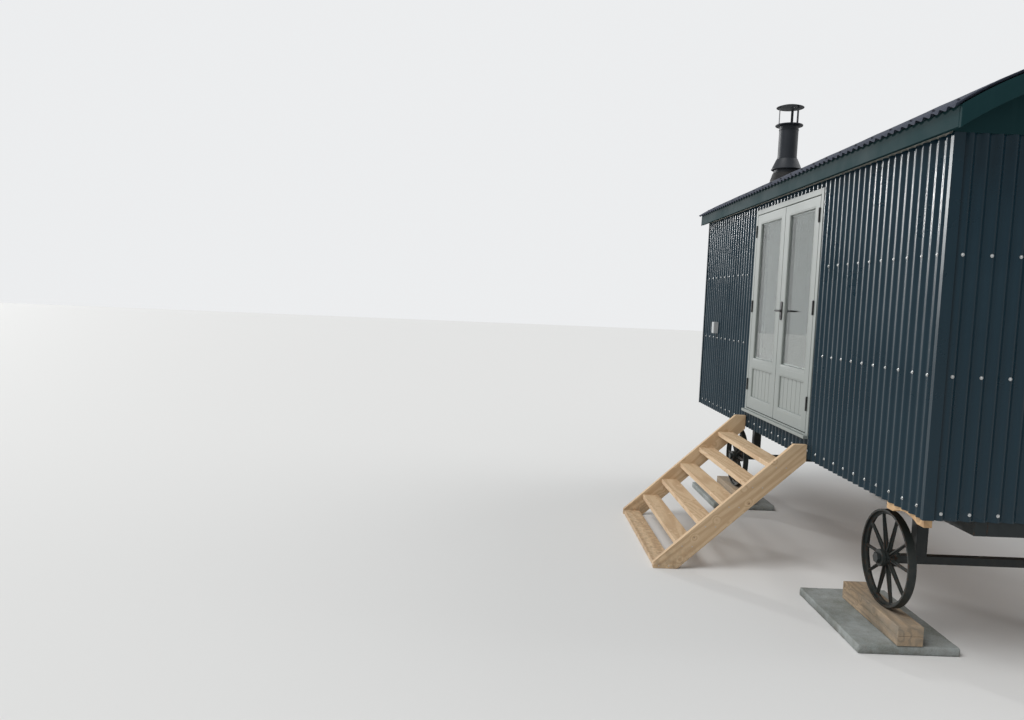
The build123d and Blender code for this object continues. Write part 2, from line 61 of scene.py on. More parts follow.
forward = Vector((
    -cos(camera_tilt) * cos(camera_turn),
    cos(camera_tilt) * sin(camera_turn),
    -sin(camera_tilt),
))
level_right = forward.cross(Vector((0, 0, 1))).normalized()
level_up = level_right.cross(forward)
camera_right = level_right * cos(camera_roll) - level_up * sin(camera_roll)
camera_up = level_right * sin(camera_roll) + level_up * cos(camera_roll)
camera_data = bpy.data.cameras.new("camera")
camera_data.sensor_width = camera_sensor
camera_data.lens = camera_lens
camera = bpy.data.objects.new("camera", camera_data)
bpy.context.scene.collection.objects.link(camera)
turned_to = Matrix((camera_right, camera_up, -forward)).transposed().to_4x4()
camera.matrix_world = Matrix.Translation(camera_place) @ turned_to
bpy.context.scene.camera = camera
bpy.context.scene.view_settings.view_transform = "Standard"


# Studio
# A plain pale floor and a pale surround. Two broad soft lamps stand far off, the stronger on
# the doors' side, and a narrow low one rakes along the doors' side to light up the crests.
floor_size = 120.0
floor_colour = (0.70, 0.70, 0.69, 1)
surround_colour = (0.84, 0.85, 0.86, 1)
sky_strength = 0.55
lamps = (
    ("door_side_lamp", (3.0, -6.0, 8.0), 1.7, 32),
    ("low_lamp", (-8.0, -6.0, 1.4), 1.15, 3),
    ("back_side_lamp", (-2.0, 8.0, 5.0), 0.9, 50),
)


def choose(*pieces):
    """Selects these pieces and nothing else, with the first of them active."""
    bpy.ops.object.select_all(action="DESELECT")
    for piece in pieces:
        piece.select_set(True)
    if pieces:
        bpy.context.view_layer.objects.active = pieces[0]


def feed(tree, target, inputs):
    """Sets a shader node's inputs, by name or number, each to a value or to another node's output."""
    for key, value in inputs.items():
        if isinstance(value, bpy.types.NodeSocket):
            tree.links.new(value, target.inputs[key])
        else:
            target.inputs[key].default_value = value
    return target


def add_node(tree, kind, inputs=None, **settings):
    """Adds a shader node with its settings and inputs."""
    made = tree.nodes.new("ShaderNode" + kind)
    for key, value in settings.items():
        setattr(made, key, value)
    return feed(tree, made, inputs or {})


def new_material(name):
    """A material with its Principled BSDF, and the tree they are in."""
    material = bpy.data.materials.new(name)
    material.use_nodes = True
    return material, material.node_tree, material.node_tree.nodes["Principled BSDF"]


choose()
bpy.ops.mesh.primitive_plane_add(size=floor_size, location=(0, 0, 0))
studio_floor = bpy.context.object
studio_floor.name = "studio_floor"
floor_material, tree, surface = new_material("studio_floor")
feed(tree, surface, {"Base Color": floor_colour, "Roughness": 0.9})
studio_floor.data.materials.append(floor_material)

world = bpy.data.worlds.new("surround")
world.use_nodes = True
bpy.context.scene.world = world
tree = world.node_tree
seen_by = add_node(tree, "LightPath").outputs
direct = add_node(tree, "Math", {0: seen_by["Is Camera Ray"], 1: seen_by["Is Transmission Ray"]},
                  operation="MAXIMUM")
strength = add_node(tree, "MapRange", {0: direct.outputs[0], 3: sky_strength, 4: 1.0})
feed(tree, tree.nodes["Background"], {"Color": surround_colour, "Strength": strength.outputs[0]})

for name, place, power, width in lamps:
    lamp_data = bpy.data.lights.new(name, "SUN")
    lamp_data.energy = power
    lamp_data.angle = radians(width)
    lamp = bpy.data.objects.new(name, lamp_data)
    bpy.context.scene.collection.objects.link(lamp)
    lamp.location = place
    lamp.rotation_mode = "QUATERNION"
    lamp.rotation_quaternion = (-Vector(place)).to_track_quat("-Z", "Y")


# Concrete slabs
# One cast paving slab lies on the ground under each wheel and reaches out past the hut's
# side. Their faces are slightly uneven and their edges are chipped and rounded by handling.
slab_voxel = 0.011
slab_roughness = 0.005
slab_colour = (0.30, 0.33, 0.33, 1)
slab_stain = (0.15, 0.17, 0.155, 1)
slab_sand = (0.40, 0.41, 0.39, 1)
slab_earth = (0.11, 0.085, 0.06, 1)
weld_gap = 0.00002


@contextmanager
def shaping(piece):
    """Holds a piece alone in edit mode, all of it selected at first, while it is shaped."""
    choose(piece)
    bpy.ops.object.mode_set(mode="EDIT")
    bpy.ops.mesh.select_all(action="SELECT")
    yield
    bpy.ops.object.mode_set(mode="OBJECT")


def copy_piece(piece, name, matrix=Matrix()):
    """A copy of a piece with its own mesh, moved to its place in that mesh."""
    twin = bpy.data.objects.new(name, piece.data.copy())
    bpy.context.scene.collection.objects.link(twin)
    twin.data.transform(matrix)
    return twin


def solid_copy(node, name):
    """A welded copy of a CAD solid with its flat faces whole again, ready to be finished as a piece."""
    piece = copy_piece(frame["nodes"][node], name)
    with shaping(piece):
        bpy.ops.mesh.customdata_custom_splitnormals_clear()
        bpy.ops.mesh.remove_doubles(threshold=weld_gap)
        bpy.ops.mesh.dissolve_limited(angle_limit=radians(1))
    return piece


def apply_modifier(piece, kind, **settings):
    """Adds one modifier to a piece and applies it at once."""
    choose(piece)
    modifier = piece.modifiers.new(kind.lower(), kind)
    for key, value in settings.items():
        setattr(modifier, key, value)
    bpy.ops.object.modifier_apply(modifier=modifier.name)


def finish_piece(piece, material, slot, *nodes, body="hut"):
    """Gives a piece its material and the body it rides on, and hides the CAD nodes it stands for."""
    piece.data.materials.clear()
    piece.data.materials.append(material)
    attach(piece, body)
    if nodes:
        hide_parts(*nodes)


def new_group(name, inputs, outputs):
    """A shader node group with named inputs, as (name, kind, value), and named outputs, all values."""
    group = bpy.data.node_groups.new(name, "ShaderNodeTree")
    for socket, kind, value in inputs:
        made = group.interface.new_socket(socket, in_out="INPUT", socket_type="NodeSocket" + kind)
        made.default_value = value
    for socket in outputs:
        group.interface.new_socket(socket, in_out="OUTPUT", socket_type="NodeSocketFloat")
    return group, group.nodes.new("NodeGroupInput"), group.nodes.new("NodeGroupOutput")


def place_group(tree, group, **inputs):
    """A group's node in a material's tree; its inputs are named with _ for a space."""
    named = {key.replace("_", " "): value for key, value in inputs.items()}
    return add_node(tree, "Group", named, node_tree=group)


def object_place(tree):
    """The place on the object where a pattern is read."""
    return add_node(tree, "TexCoord").outputs["Object"]


def noise(tree, place, scale, detail, rough=0.5):
    """A soft uneven value about 0.5, with finer noise laid over it."""
    made = add_node(tree, "TexNoise", {"Vector": place, "Scale": scale, "Detail": detail, "Roughness": rough})
    return made.outputs[0]


def cells(tree, place, scale):
    """The distance to the nearest of many scattered points."""
    return add_node(tree, "TexVoronoi", {"Vector": place, "Scale": scale}).outputs["Distance"]


def blend_colour(tree, amount, first, second):
    """The colour between two, at an amount from 0 to 1 that changes over the surface."""
    return add_node(tree, "Mix", {0: amount, 6: first, 7: second}, data_type="RGBA").outputs[2]


def between(tree, value, low, high, to_low=0.0, to_high=1.0):
    """A value moved from one range to another and held inside it."""
    return add_node(tree, "MapRange", {0: value, 1: low, 2: high, 3: to_low, 4: to_high}).outputs[0]


def product(tree, first, second):
    return add_node(tree, "Math", {0: first, 1: second}, operation="MULTIPLY").outputs[0]


def total(tree, first, second):
    return add_node(tree, "Math", {0: first, 1: second}, operation="ADD").outputs[0]


def bump(tree, surface, height, distance):
    """Sends a height to a material's surface as bump of this depth in metres."""
    made = add_node(tree, "Bump", {"Height": height, "Distance": distance, "Strength": 1.0})
    feed(tree, surface, {"Normal": made.outputs[0]})


# weathering: large soft patches, runs of water down the faces, and splashed earth near the ground
weathering, enter, leave = new_group(
    "weathering",
    (("Patch Scale", "Float", 1.5), ("Run Width", "Float", 30.0), ("Splash Top", "Float", 0.3)),
    ("Patches", "Runs", "Splash"),
)
place = object_place(weathering)
patches = noise(weathering, place, enter.outputs["Patch Scale"], 6.0, 0.62)
spread = add_node(weathering, "CombineXYZ", {0: enter.outputs["Run Width"], 1: enter.outputs["Run Width"],
                                             2: 0.9})
run_place = add_node(weathering, "VectorMath", {0: place, 1: spread.outputs[0]}, operation="MULTIPLY")
runs = noise(weathering, run_place.outputs[0], 1.0, 4.0)
height = add_node(weathering, "SeparateXYZ", {0: place}).outputs[2]
low_down = between(weathering, height, enter.outputs["Splash Top"], 0.0)
spots = noise(weathering, place, 22.0, 8.0, 0.7)
feed(weathering, leave, {
    "Patches": between(weathering, patches, 0.36, 0.66),
    "Runs": between(weathering, runs, 0.5, 0.74),
    "Splash": product(weathering, low_down, between(weathering, spots, 0.4, 0.62)),
})

concrete, tree, surface = new_material("cast_concrete")
age = place_group(tree, weathering, Patch_Scale=4.0, Splash_Top=0.09)
place = object_place(tree)
sand = noise(tree, place, 180.0, 6.0)
pitted = between(tree, cells(tree, place, 75.0), 0.08, 0.3)
tone = blend_colour(tree, age.outputs["Patches"], slab_stain, slab_colour)
tone = blend_colour(tree, between(tree, sand, 0.35, 0.65, 0.0, 0.35), tone, slab_sand)
tone = blend_colour(tree, product(tree, age.outputs["Splash"], 0.5), tone, slab_earth)
feed(tree, surface, {"Base Color": tone, "Roughness": 0.93})
bump(tree, surface, product(tree, sand, pitted), 0.0025)

slabs = solid_copy("pad_slabs", "ground_slabs")
apply_modifier(slabs, "REMESH", mode="VOXEL", voxel_size=slab_voxel)
uneven = bpy.data.textures.new("uneven_cast", "CLOUDS")
uneven.noise_scale = 0.07
uneven.noise_depth = 3
apply_modifier(slabs, "DISPLACE", texture=uneven, texture_coords="GLOBAL", strength=slab_roughness,
               mid_level=1.0)
bpy.ops.object.shade_smooth()
finish_piece(slabs, concrete, "concrete", "pad_slabs")


# Timber packing
# Two layers of sawn timber lie on each slab to bring the wheel up to level. They are old
# rough-sawn lengths, greyed outside, with soft edges.
packing_easing = 0.004
packing_light = (0.46, 0.32, 0.19, 1)
packing_dark = (0.17, 0.125, 0.08, 1)
packing_knot = (0.09, 0.05, 0.03, 1)
packing_grey = (0.22, 0.21, 0.18, 1)
splash_on_wood = (0.10, 0.075, 0.05, 1)
along_x = (0.7, 8.0, 8.0)


def ease_edges(piece, width, segments=2, angle=25):
    """Rounds a piece's edges over and marks the roundings, which wear first."""
    for _ in range(2):
        piece.data.materials.append(None)
    for face in piece.data.polygons:
        face.material_index = 0
        face.use_smooth = True
    apply_modifier(piece, "BEVEL", width=width, segments=segments, limit_method="ANGLE",
                   angle_limit=radians(angle), material=1, harden_normals=True)
    worn = piece.data.attributes.new("worn_edge", "FLOAT", "FACE")
    for face, mark in zip(piece.data.polygons, worn.data):
        mark.value = face.material_index
        face.material_index = 0
    piece.data.materials.clear()


def eased_copy(node, name, material, slot, width, segments=2, angle=25, body="hut"):
    """Finishes a CAD solid as it is, with its edges rounded over."""
    piece = solid_copy(node, name)
    ease_edges(piece, width, segments, angle)
    finish_piece(piece, material, slot, node, body=body)


# timber_grain: growth rings that run round knots, fine fibres and a height, along one axis of the wood
timber_grain, enter, leave = new_group(
    "timber_grain",
    (("Turn", "Vector", (0, 0, 0)), ("Along", "Vector", along_x), ("Rings", "Float", 90.0),
     ("Knots in a Metre", "Float", 9.0), ("Knot Size", "Float", 0.10)),
    ("Rings", "Fibres", "Knots", "Height"),
)
turned_place = add_node(timber_grain, "Mapping", {"Vector": object_place(timber_grain),
                                                  "Rotation": enter.outputs["Turn"]}).outputs[0]
stretched = add_node(timber_grain, "VectorMath", {0: turned_place, 1: enter.outputs["Along"]},
                     operation="MULTIPLY").outputs[0]
knots = cells(timber_grain, turned_place, enter.outputs["Knots in a Metre"])
knot_core = between(timber_grain, knots, 0.0, enter.outputs["Knot Size"], 1.0, 0.0)
knot_pull = between(timber_grain, knots, 0.0, 0.35, 0.12, 0.0)
layers = total(timber_grain, noise(timber_grain, stretched, 0.55, 1.6, 0.35), knot_pull)
rings = add_node(timber_grain, "Math", {0: product(timber_grain, layers, enter.outputs["Rings"])},
                 operation="SINE")
ring_value = between(timber_grain, rings.outputs[0], -1.0, 1.0)
fibre_place = add_node(timber_grain, "VectorMath", {0: stretched, 3: 9.0}, operation="SCALE").outputs[0]
fibres = noise(timber_grain, fibre_place, 3.0, 5.0, 0.6)
feed(timber_grain, leave, {
    "Rings": ring_value,
    "Fibres": between(timber_grain, fibres, 0.3, 0.7),
    "Knots": knot_core,
    "Height": total(timber_grain, product(timber_grain, ring_value, 0.35), fibres),
})


def bare_wood(name, light, dark, knot, grain, turn=(0, 0, 0), depth=0.0004, grey=None, rough=0.72):
    """Unpainted timber: rings and fibres along the grain, darker knots, and grey where it has weathered."""
    material, tree, surface = new_material(name)
    wood = place_group(tree, timber_grain, Turn=turn, Along=grain)
    age = place_group(tree, weathering, Patch_Scale=3.0, Splash_Top=0.25)
    tone = blend_colour(tree, between(tree, wood.outputs["Rings"], 0.35, 0.95, 0.0, 0.55), light, dark)
    tone = blend_colour(tree, between(tree, wood.outputs["Fibres"], 0.2, 0.9, 0.0, 0.3), tone, dark)
    tone = blend_colour(tree, wood.outputs["Knots"], tone, knot)
    if grey:
        tone = blend_colour(tree, between(tree, age.outputs["Patches"], 0.0, 1.0, 0.15, 0.75), tone, grey)
    tone = blend_colour(tree, product(tree, age.outputs["Splash"], 0.45), tone, splash_on_wood)
    dull = between(tree, wood.outputs["Fibres"], 0.0, 1.0, rough - 0.1, rough + 0.12)
    feed(tree, surface, {"Base Color": tone, "Roughness": dull})
    bump(tree, surface, wood.outputs["Height"], depth)
    return material


packing_wood = bare_wood("old_sawn_timber", packing_light, packing_dark, packing_knot, along_x, depth=0.0016,
                         grey=packing_grey, rough=0.85)
for layer in ("lower", "upper"):
    eased_copy(f"pad_{layer}_timbers", f"{layer}_packing", packing_wood, "old_timber", packing_easing)


# Cast wheels
# Each wheel is one iron casting: a flat tyre with a rib inside it, ten tapered spokes with a
# rib down each face, and a long hub with a collar at both ends. The paint is thin and rusty.
tyre_half = 0.025
tyre_thickness = 0.014
tyre_rib = 0.016
tyre_rib_depth = 0.017
spoke_count = 10
web_width = (0.026, 0.017)
web_depth = (0.010, 0.010)
rib_width = (0.007, 0.007)
rib_depth = (0.034, 0.0204)
hub_radius = 0.046
hub_collar = 0.052
hub_collar_length = 0.022
hub_step = 0.006
bore_radius = 0.0221
wheel_sides = 96
casting_easing = 0.003
spoke_easing = 0.0022
iron_paint = (0.007, 0.012, 0.012, 1)
iron_faded = (0.020, 0.025, 0.024, 1)
iron_rust = (0.055, 0.026, 0.014, 1)
splash_on_paint = (0.10, 0.08, 0.06, 1)


def start_piece(name, size=(1, 1, 1)):
    """Names the primitive just added and works its place, turn and size into its mesh."""
    piece = bpy.context.object
    piece.name = name
    piece.scale = size
    bpy.ops.object.transform_apply(location=True, rotation=True, scale=True)
    return piece


def turned(name, rings, sides, centre=(0, 0, 0), closed=False):
    """A round piece, drawn out ring by ring as (radius, height) from a circle, as on a lathe."""
    choose()
    middle = Vector(centre)
    radius, height = rings[0]
    bpy.ops.mesh.primitive_circle_add(vertices=sides, radius=radius, location=middle + Vector((0, 0, height)))
    piece = start_piece(name)
    draw_out = bpy.ops.mesh.extrude_edges_move if closed else bpy.ops.mesh.extrude_region_move
    with shaping(piece):
        if not closed:
            bpy.ops.mesh.edge_face_add()
            bpy.ops.mesh.select_all(action="SELECT")
        for next_radius, next_height in rings[1:]:
            draw_out(TRANSFORM_OT_translate={"value": (0, 0, next_height - height)})
            size = next_radius / radius
            bpy.ops.transform.resize(value=(size, size, 1),
                                     center_override=middle + Vector((0, 0, next_height)))
            radius, height = next_radius, next_height
        bpy.ops.mesh.select_all(action="SELECT")
        bpy.ops.mesh.remove_doubles(threshold=weld_gap / 2)
        bpy.ops.mesh.normals_make_consistent(inside=False)
    return piece


def smooth(piece, angle=35):
    choose(piece)
    bpy.ops.object.shade_smooth_by_angle(angle=radians(angle))


def join(name, *pieces):
    """Makes one piece of several."""
    choose(*pieces)
    bpy.ops.object.join()
    pieces[0].name = name
    return pieces[0]


def copies(name, piece, places):
    """One piece made of copies of another, each moved by its own matrix."""
    return join(name, *[copy_piece(piece, name, place) for place in places])


def block(name, low, high):
    """Starts a piece as a block between two corners."""
    choose()
    low, high = Vector(low), Vector(high)
    bpy.ops.mesh.primitive_cube_add(size=1, location=(low + high) / 2)
    return start_piece(name, high - low)


def select_parts(piece, kind, wanted):
    """In edit mode, selects the points, edges or faces that pass the test, with what lies between them."""
    mesh = bmesh.from_edit_mesh(piece.data)
    mesh.select_mode = {kind}
    for part in {"VERT": mesh.verts, "EDGE": mesh.edges, "FACE": mesh.faces}[kind]:
        part.select = wanted(part)
    mesh.select_flush_mode()
    bmesh.update_edit_mesh(piece.data)


def select_points(piece, wanted):
    """In edit mode, selects the points whose place passes the test, with what lies between them."""
    select_parts(piece, "VERT", lambda vertex: wanted(vertex.co))


def tapered_bar(name, length, width, depth):
    """A bar along X from x = 0, its width in Y and depth in Z each given at the root and at the tip."""
    bar = block(name, (0, -width[0] / 2, -depth[0] / 2), (length, width[0] / 2, depth[0] / 2))
    with shaping(bar):
        select_points(bar, lambda point: point.x > length / 2)
        bpy.ops.transform.resize(value=(1, width[1] / width[0], depth[1] / depth[0]),
                                 center_override=(length, 0, 0))
    ease_edges(bar, spoke_easing)
    return bar


# edge_wear: rubbed edges that break up into the faces beside them
edge_wear, enter, leave = new_group("edge_wear", (("Amount", "Float", 0.5), ("Scale", "Float", 30.0)),
                                    ("Wear",))
marked = add_node(edge_wear, "Attribute", attribute_name="worn_edge").outputs["Fac"]
broken = noise(edge_wear, object_place(edge_wear), enter.outputs["Scale"], 7.0, 0.65)
start_wear = between(edge_wear, enter.outputs["Amount"], 0.0, 1.0, 0.78, 0.3)
rubbed = add_node(edge_wear, "Math", {0: broken, 1: start_wear}, operation="GREATER_THAN")
feed(edge_wear, leave, {"Wear": product(edge_wear, rubbed.outputs[0], marked)})


def painted(name, paint, faded, under, rough=0.42, wear=0.3, grain=None, depth=0.0004, splash=0.3,
            coarse=260.0, shine=0.5):
    """Paint over wood or metal: faded in patches, streaked by rain, splashed low down, worn at edges."""
    material, tree, surface = new_material(name)
    age = place_group(tree, weathering, Patch_Scale=1.7, Run_Width=26.0, Splash_Top=splash)
    rub = place_group(tree, edge_wear, Amount=wear).outputs["Wear"]
    tone = blend_colour(tree, product(tree, age.outputs["Patches"], 0.6), paint, faded)
    tone = blend_colour(tree, product(tree, age.outputs["Runs"], 0.4), tone, faded)
    tone = blend_colour(tree, product(tree, age.outputs["Splash"], 0.35), tone, splash_on_paint)
    tone = blend_colour(tree, rub, tone, under)
    dull = total(tree, between(tree, age.outputs["Patches"], 0.0, 1.0, rough, rough + 0.14),
                 product(tree, rub, 0.25))
    height = noise(tree, object_place(tree), coarse, 3.0)
    if grain:
        wood = place_group(tree, timber_grain, Along=grain)
        height = total(tree, product(tree, height, 0.3), wood.outputs["Height"])
    feed(tree, surface, {"Base Color": tone, "Roughness": dull, "Specular IOR Level": shine})
    bump(tree, surface, height, depth)
    return material


wheel_iron = painted("wheel_iron", iron_paint, iron_faded, iron_rust, rough=0.5, wear=0.5, depth=0.0009,
                     splash=0.75, coarse=120.0, shine=0.35)
wheel_low, wheel_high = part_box("wheel_front_right")
tyre_radius = (wheel_high.z - wheel_low.z) / 2
inside = tyre_radius - tyre_thickness
rib_edge = inside - tyre_rib_depth
tyre = turned("tyre", (
    (tyre_radius, -tyre_half), (tyre_radius, tyre_half), (inside, tyre_half), (inside, tyre_rib / 2),
    (rib_edge, tyre_rib / 3), (rib_edge, -tyre_rib / 3), (inside, -tyre_rib / 2), (inside, -tyre_half),
    (tyre_radius, -tyre_half),
), wheel_sides, closed=True)
hub_half = (wheel_high.y - wheel_low.y) / 2
collar_end = hub_half - hub_collar_length
hub = turned("hub", (
    (bore_radius, -hub_half), (hub_collar, -hub_half), (hub_collar, -collar_end),
    (hub_radius, hub_step - collar_end), (hub_radius, collar_end - hub_step), (hub_collar, collar_end),
    (hub_collar, hub_half), (bore_radius, hub_half), (bore_radius, -hub_half),
), 40, closed=True)
for part in (tyre, hub):
    ease_edges(part, casting_easing)
spoke_foot = hub_radius * 0.8
spoke_length = inside - tyre_rib_depth / 2 - spoke_foot
spoke = join("spoke", tapered_bar("web", spoke_length, web_width, web_depth),
             tapered_bar("rib", spoke_length, rib_width, rib_depth))
spoke.data.transform(Matrix.Translation((spoke_foot, 0, 0)))
spokes = copies("spokes", spoke, [Matrix.Rotation(2 * pi * i / spoke_count, 4, "Z")
                                  for i in range(spoke_count)])
bpy.data.objects.remove(spoke)
casting = join("casting", tyre, hub, spokes)
casting.data.transform(Matrix.Rotation(radians(90), 4, "X"))
smooth(casting)
for side in ("front_right", "front_left", "back_right", "back_left"):
    low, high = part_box(f"wheel_{side}")
    wheel = copy_piece(casting, f"{side}_wheel", Matrix.Translation((low + high) / 2))
    finish_piece(wheel, wheel_iron, "cast_wheel", f"wheel_{side}", body=f"{side}_wheel")
bpy.data.objects.remove(casting)


# Chassis and axles
# Two steel channels run the length of the hut with members across them. Square axles hang
# below them on posts, with turned ends and a nut outside each wheel, all in dark paint.
steel_easing = 0.003
chassis_paint = painted("chassis_paint", (0.008, 0.013, 0.014, 1), (0.022, 0.027, 0.028, 1),
                        (0.06, 0.028, 0.015, 1), rough=0.5, wear=0.45, depth=0.0006, splash=0.7,
                        coarse=150.0, shine=0.35)
for node in ("chassis_rails", "cross_members", "axle_posts", "right_axle", "left_axle"):
    eased_copy(node, f"painted_{node}", chassis_paint, "chassis_paint", steel_easing)


# Floor and lined walls
# The floor is oiled softwood boards on joists. Studs stand on it, lined inside with upright
# grooved boards; outside, the frame is covered by the corrugated sheets.
groove_half = 0.0022
groove_depth = 0.003
floor_board_width = 0.130
lining_board_width = 0.100
board_easing = 0.0008
upright = (8.0, 8.0, 0.7)
bare_pine = (0.45, 0.34, 0.22, 1)
on_plane = 0.0001
wall_end = 0.01
floor_wood = bare_wood("oiled_floor", (0.33, 0.21, 0.12, 1), (0.19, 0.11, 0.06, 1), (0.08, 0.04, 0.02, 1),
                       along_x, rough=0.5)
lining_paint = painted("lining_paint", (0.60, 0.58, 0.52, 1), (0.52, 0.50, 0.44, 1), bare_pine, rough=0.5,
                       wear=0.1, grain=upright, depth=0.0005)


def cut_across(place, way, drop_beyond=False):
    """In edit mode, cuts every face of the piece along a plane, and can drop what lies beyond it."""
    bpy.ops.mesh.select_all(action="SELECT")
    bpy.ops.mesh.bisect(plane_co=place, plane_no=way, clear_outer=drop_beyond)


def cut_grooves(piece, along, places, on_face, depth):
    """Cuts V-grooves, to a depth vector, in one face of a piece at places along X (0) or Y (1)."""
    way = Vector((1, 0, 0)) if along == 0 else Vector((0, 1, 0))
    with shaping(piece):
        for place in places:
            for shift in (-groove_half, 0.0, groove_half):
                cut_across(way * (place + shift), way)
            select_points(piece, lambda point: abs(point[along] - place) < on_plane / 2 and on_face(point))
            bpy.ops.transform.translate(value=depth)


def even_places(low, high, pitch):
    """Places between two ends, one board's width apart."""
    count = round((high - low) / pitch)
    return [low + (high - low) * (i + 1) / count for i in range(count - 1)]


floor_boards = solid_copy("floor_deck", "floor_boards")
floor_low, floor_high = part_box("floor_deck")
cut_grooves(floor_boards, 1, even_places(floor_low.y, floor_high.y, floor_board_width),
            lambda point: point.z > floor_high.z - on_plane, (0, 0, -groove_depth))
ease_edges(floor_boards, board_easing, 1)
finish_piece(floor_boards, floor_wood, "floor_boards", "floor_deck")

inner_low, inner_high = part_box("left_wall")[1].x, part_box("right_wall")[0].x
for node in ("front_wall_left", "front_wall_right", "front_wall_head", "back_wall", "right_wall",
             "left_wall"):
    wall = solid_copy(node, f"lined_{node}")
    low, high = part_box(node)
    along = int(node in ("right_wall", "left_wall"))
    across = 1 - along
    face_at, way = (low[across], 1) if node in ("right_wall", "back_wall") else (high[across], -1)
    depth = (way * groove_depth, 0, 0) if along else (0, way * groove_depth, 0)
    ends = (low.y, high.y) if along else (inner_low, inner_high)
    places = [place for place in even_places(*ends, lining_board_width)
              if low[along] + wall_end < place < high[along] - wall_end]
    cut_grooves(wall, along, places, lambda point: abs(point[across] - face_at) < on_plane, depth)
    ease_edges(wall, board_easing, 1)
    finish_piece(wall, lining_paint, "wall_boards", node)


# Corrugated cladding
# Galvanised steel sheets with 76 mm waves, painted dark blue-green, stand side by side from
# floor to eaves. Each laps over the next by a wave, and screws with washers hold every other crest.
sheet_pitch = 0.0762
sheet_wave = 0.0172
sheet_steps = 10
sheet_waves = 10
sheet_lap = 0.0014
lap_reach = 0.97 * sheet_pitch
sheet_steel = 0.0012
front_crest_inset = 0.051
gable_crest_inset = 0.0935
front_low, front_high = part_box("front_cladding")
back_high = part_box("back_cladding")[1]
right_low, right_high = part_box("right_cladding")
left_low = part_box("left_cladding")[0]
door_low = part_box("door_jamb_left")[0]
door_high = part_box("door_jamb_right")[1]
hut_axis = (front_low.y + back_high.y) / 2
gable_half = (right_high.y - right_low.y) / 2
cladding_height = front_high.z - front_low.z
front_crest = front_high.x - front_crest_inset
gable_crest = front_low.y + gable_crest_inset
cladding_paint = painted("cladding_paint", (0.003, 0.019, 0.031, 1), (0.006, 0.026, 0.040, 1),
                         (0.10, 0.11, 0.11, 1), rough=0.24, wear=0.1, depth=0.00008, splash=1.05,
                         coarse=160.0, shine=0.3)


def waved_sheet(name):
    """A sheet from y = 0 to 1, waved in Z along X, with its first wave lifted over the last sheet."""
    choose()
    length = sheet_pitch * (sheet_waves + 1)
    bpy.ops.mesh.primitive_grid_add(x_subdivisions=sheet_steps * (sheet_waves + 1), y_subdivisions=1, size=1,
                                    location=(length / 2, 0.5, 0))
    sheet = start_piece(name, (length, 1, 1))
    with shaping(sheet):
        for step in range(sheet_steps):
            part = step / sheet_steps
            select_points(sheet, lambda point: abs((point.x / sheet_pitch - part + 0.5) % 1 - 0.5) < 0.01)
            bpy.ops.transform.translate(value=(0, 0, -sheet_wave * (1 + cos(2 * pi * part)) / 2))
        select_points(sheet, lambda point: point.x < lap_reach)
        bpy.ops.transform.translate(value=(0, 0, sheet_lap))
    return sheet


def lay_sheets(sheet, first, last, crest):
    """Repeats a sheet along X and trims the row to its two ends, with a crest at the given place."""
    cover = sheet_pitch * sheet_waves
    start = crest - sheet_pitch / 2 - sheet_pitch * ceil((crest - first) / sheet_pitch + 1)
    sheet.data.transform(Matrix.Translation((start, 0, 0)))
    apply_modifier(sheet, "ARRAY", count=ceil((last - start) / cover) + 1, use_relative_offset=False,
                   use_constant_offset=True, constant_offset_displace=(cover, 0, 0))
    with shaping(sheet):
        for end, way in ((first, -1), (last, 1)):
            cut_across((end, 0, 0), (way, 0, 0), drop_beyond=True)


def in_doorway(face):
    """Whether a face of the front sheets lies where the doors are."""
    middle = face.calc_center_median()
    return door_low.x < middle.x < door_high.x and door_low.z < middle.z < door_high.z


def give_thickness(sheet, thickness, side=-1):
    """Turns an open sheet into one of its thickness, laid behind its outer face (-1) or before it (1)."""
    apply_modifier(sheet, "SOLIDIFY", thickness=thickness, offset=side, use_even_offset=False)
    smooth(sheet, 40)


for side, half_length, crest, angle, place in (
    ("front", front_high.x, front_crest, 0, (0, front_low.y, front_low.z)),
    ("back", back_high.x, -front_crest, 180, (0, back_high.y, front_low.z)),
    ("right", gable_half, gable_crest - hut_axis, 90, (right_high.x, hut_axis, front_low.z)),
    ("left", gable_half, hut_axis - gable_crest, -90, (left_low.x, hut_axis, front_low.z)),
):
    sheets = waved_sheet(f"{side}_sheets")
    lay_sheets(sheets, -half_length, half_length, crest)
    sheets.data.transform(Matrix.Rotation(radians(90), 4, "X") @ Matrix.Diagonal((1, cladding_height, 1, 1)))
    sheets.data.transform(Matrix.Translation(place) @ Matrix.Rotation(radians(angle), 4, "Z"))
    if side == "front":
        with shaping(sheets):
            for corner in (door_low, door_high):
                cut_across((corner.x, 0, 0), (1, 0, 0))
                cut_across((0, 0, corner.z), (0, 0, 1))
            select_parts(sheets, "FACE", in_doorway)
            bpy.ops.mesh.delete(type="FACE")
    give_thickness(sheets, sheet_steel)
    finish_piece(sheets, cladding_paint, "cladding", f"{side}_cladding")


# Cladding screws
# Hexagon-headed roofing screws with a domed washer, left galvanised, hold the sheets to the
# rails behind them in level rows, one on every second crest.
screw_step = 2 * sheet_pitch
front_rows = (0.928, 1.635, 2.270)
gable_rows = (0.904, 1.635, 2.270)
gable_screw_count = 15
washer_radius = 0.0095
washer_thickness = 0.0016
screw_head_radius = 0.0055
screw_head_height = 0.0048
corner_gap = 0.03

galvanised, tree, surface = new_material("galvanised")
age = place_group(tree, weathering, Patch_Scale=9.0)
spangle = cells(tree, object_place(tree), 500.0)
tone = blend_colour(tree, between(tree, spangle, 0.1, 0.7), (0.42, 0.44, 0.45, 1), (0.60, 0.61, 0.61, 1))
tone = blend_colour(tree, product(tree, age.outputs["Patches"], 0.5), tone, (0.30, 0.29, 0.27, 1))
feed(tree, surface, {"Base Color": tone, "Metallic": 0.75, "Roughness": 0.45})

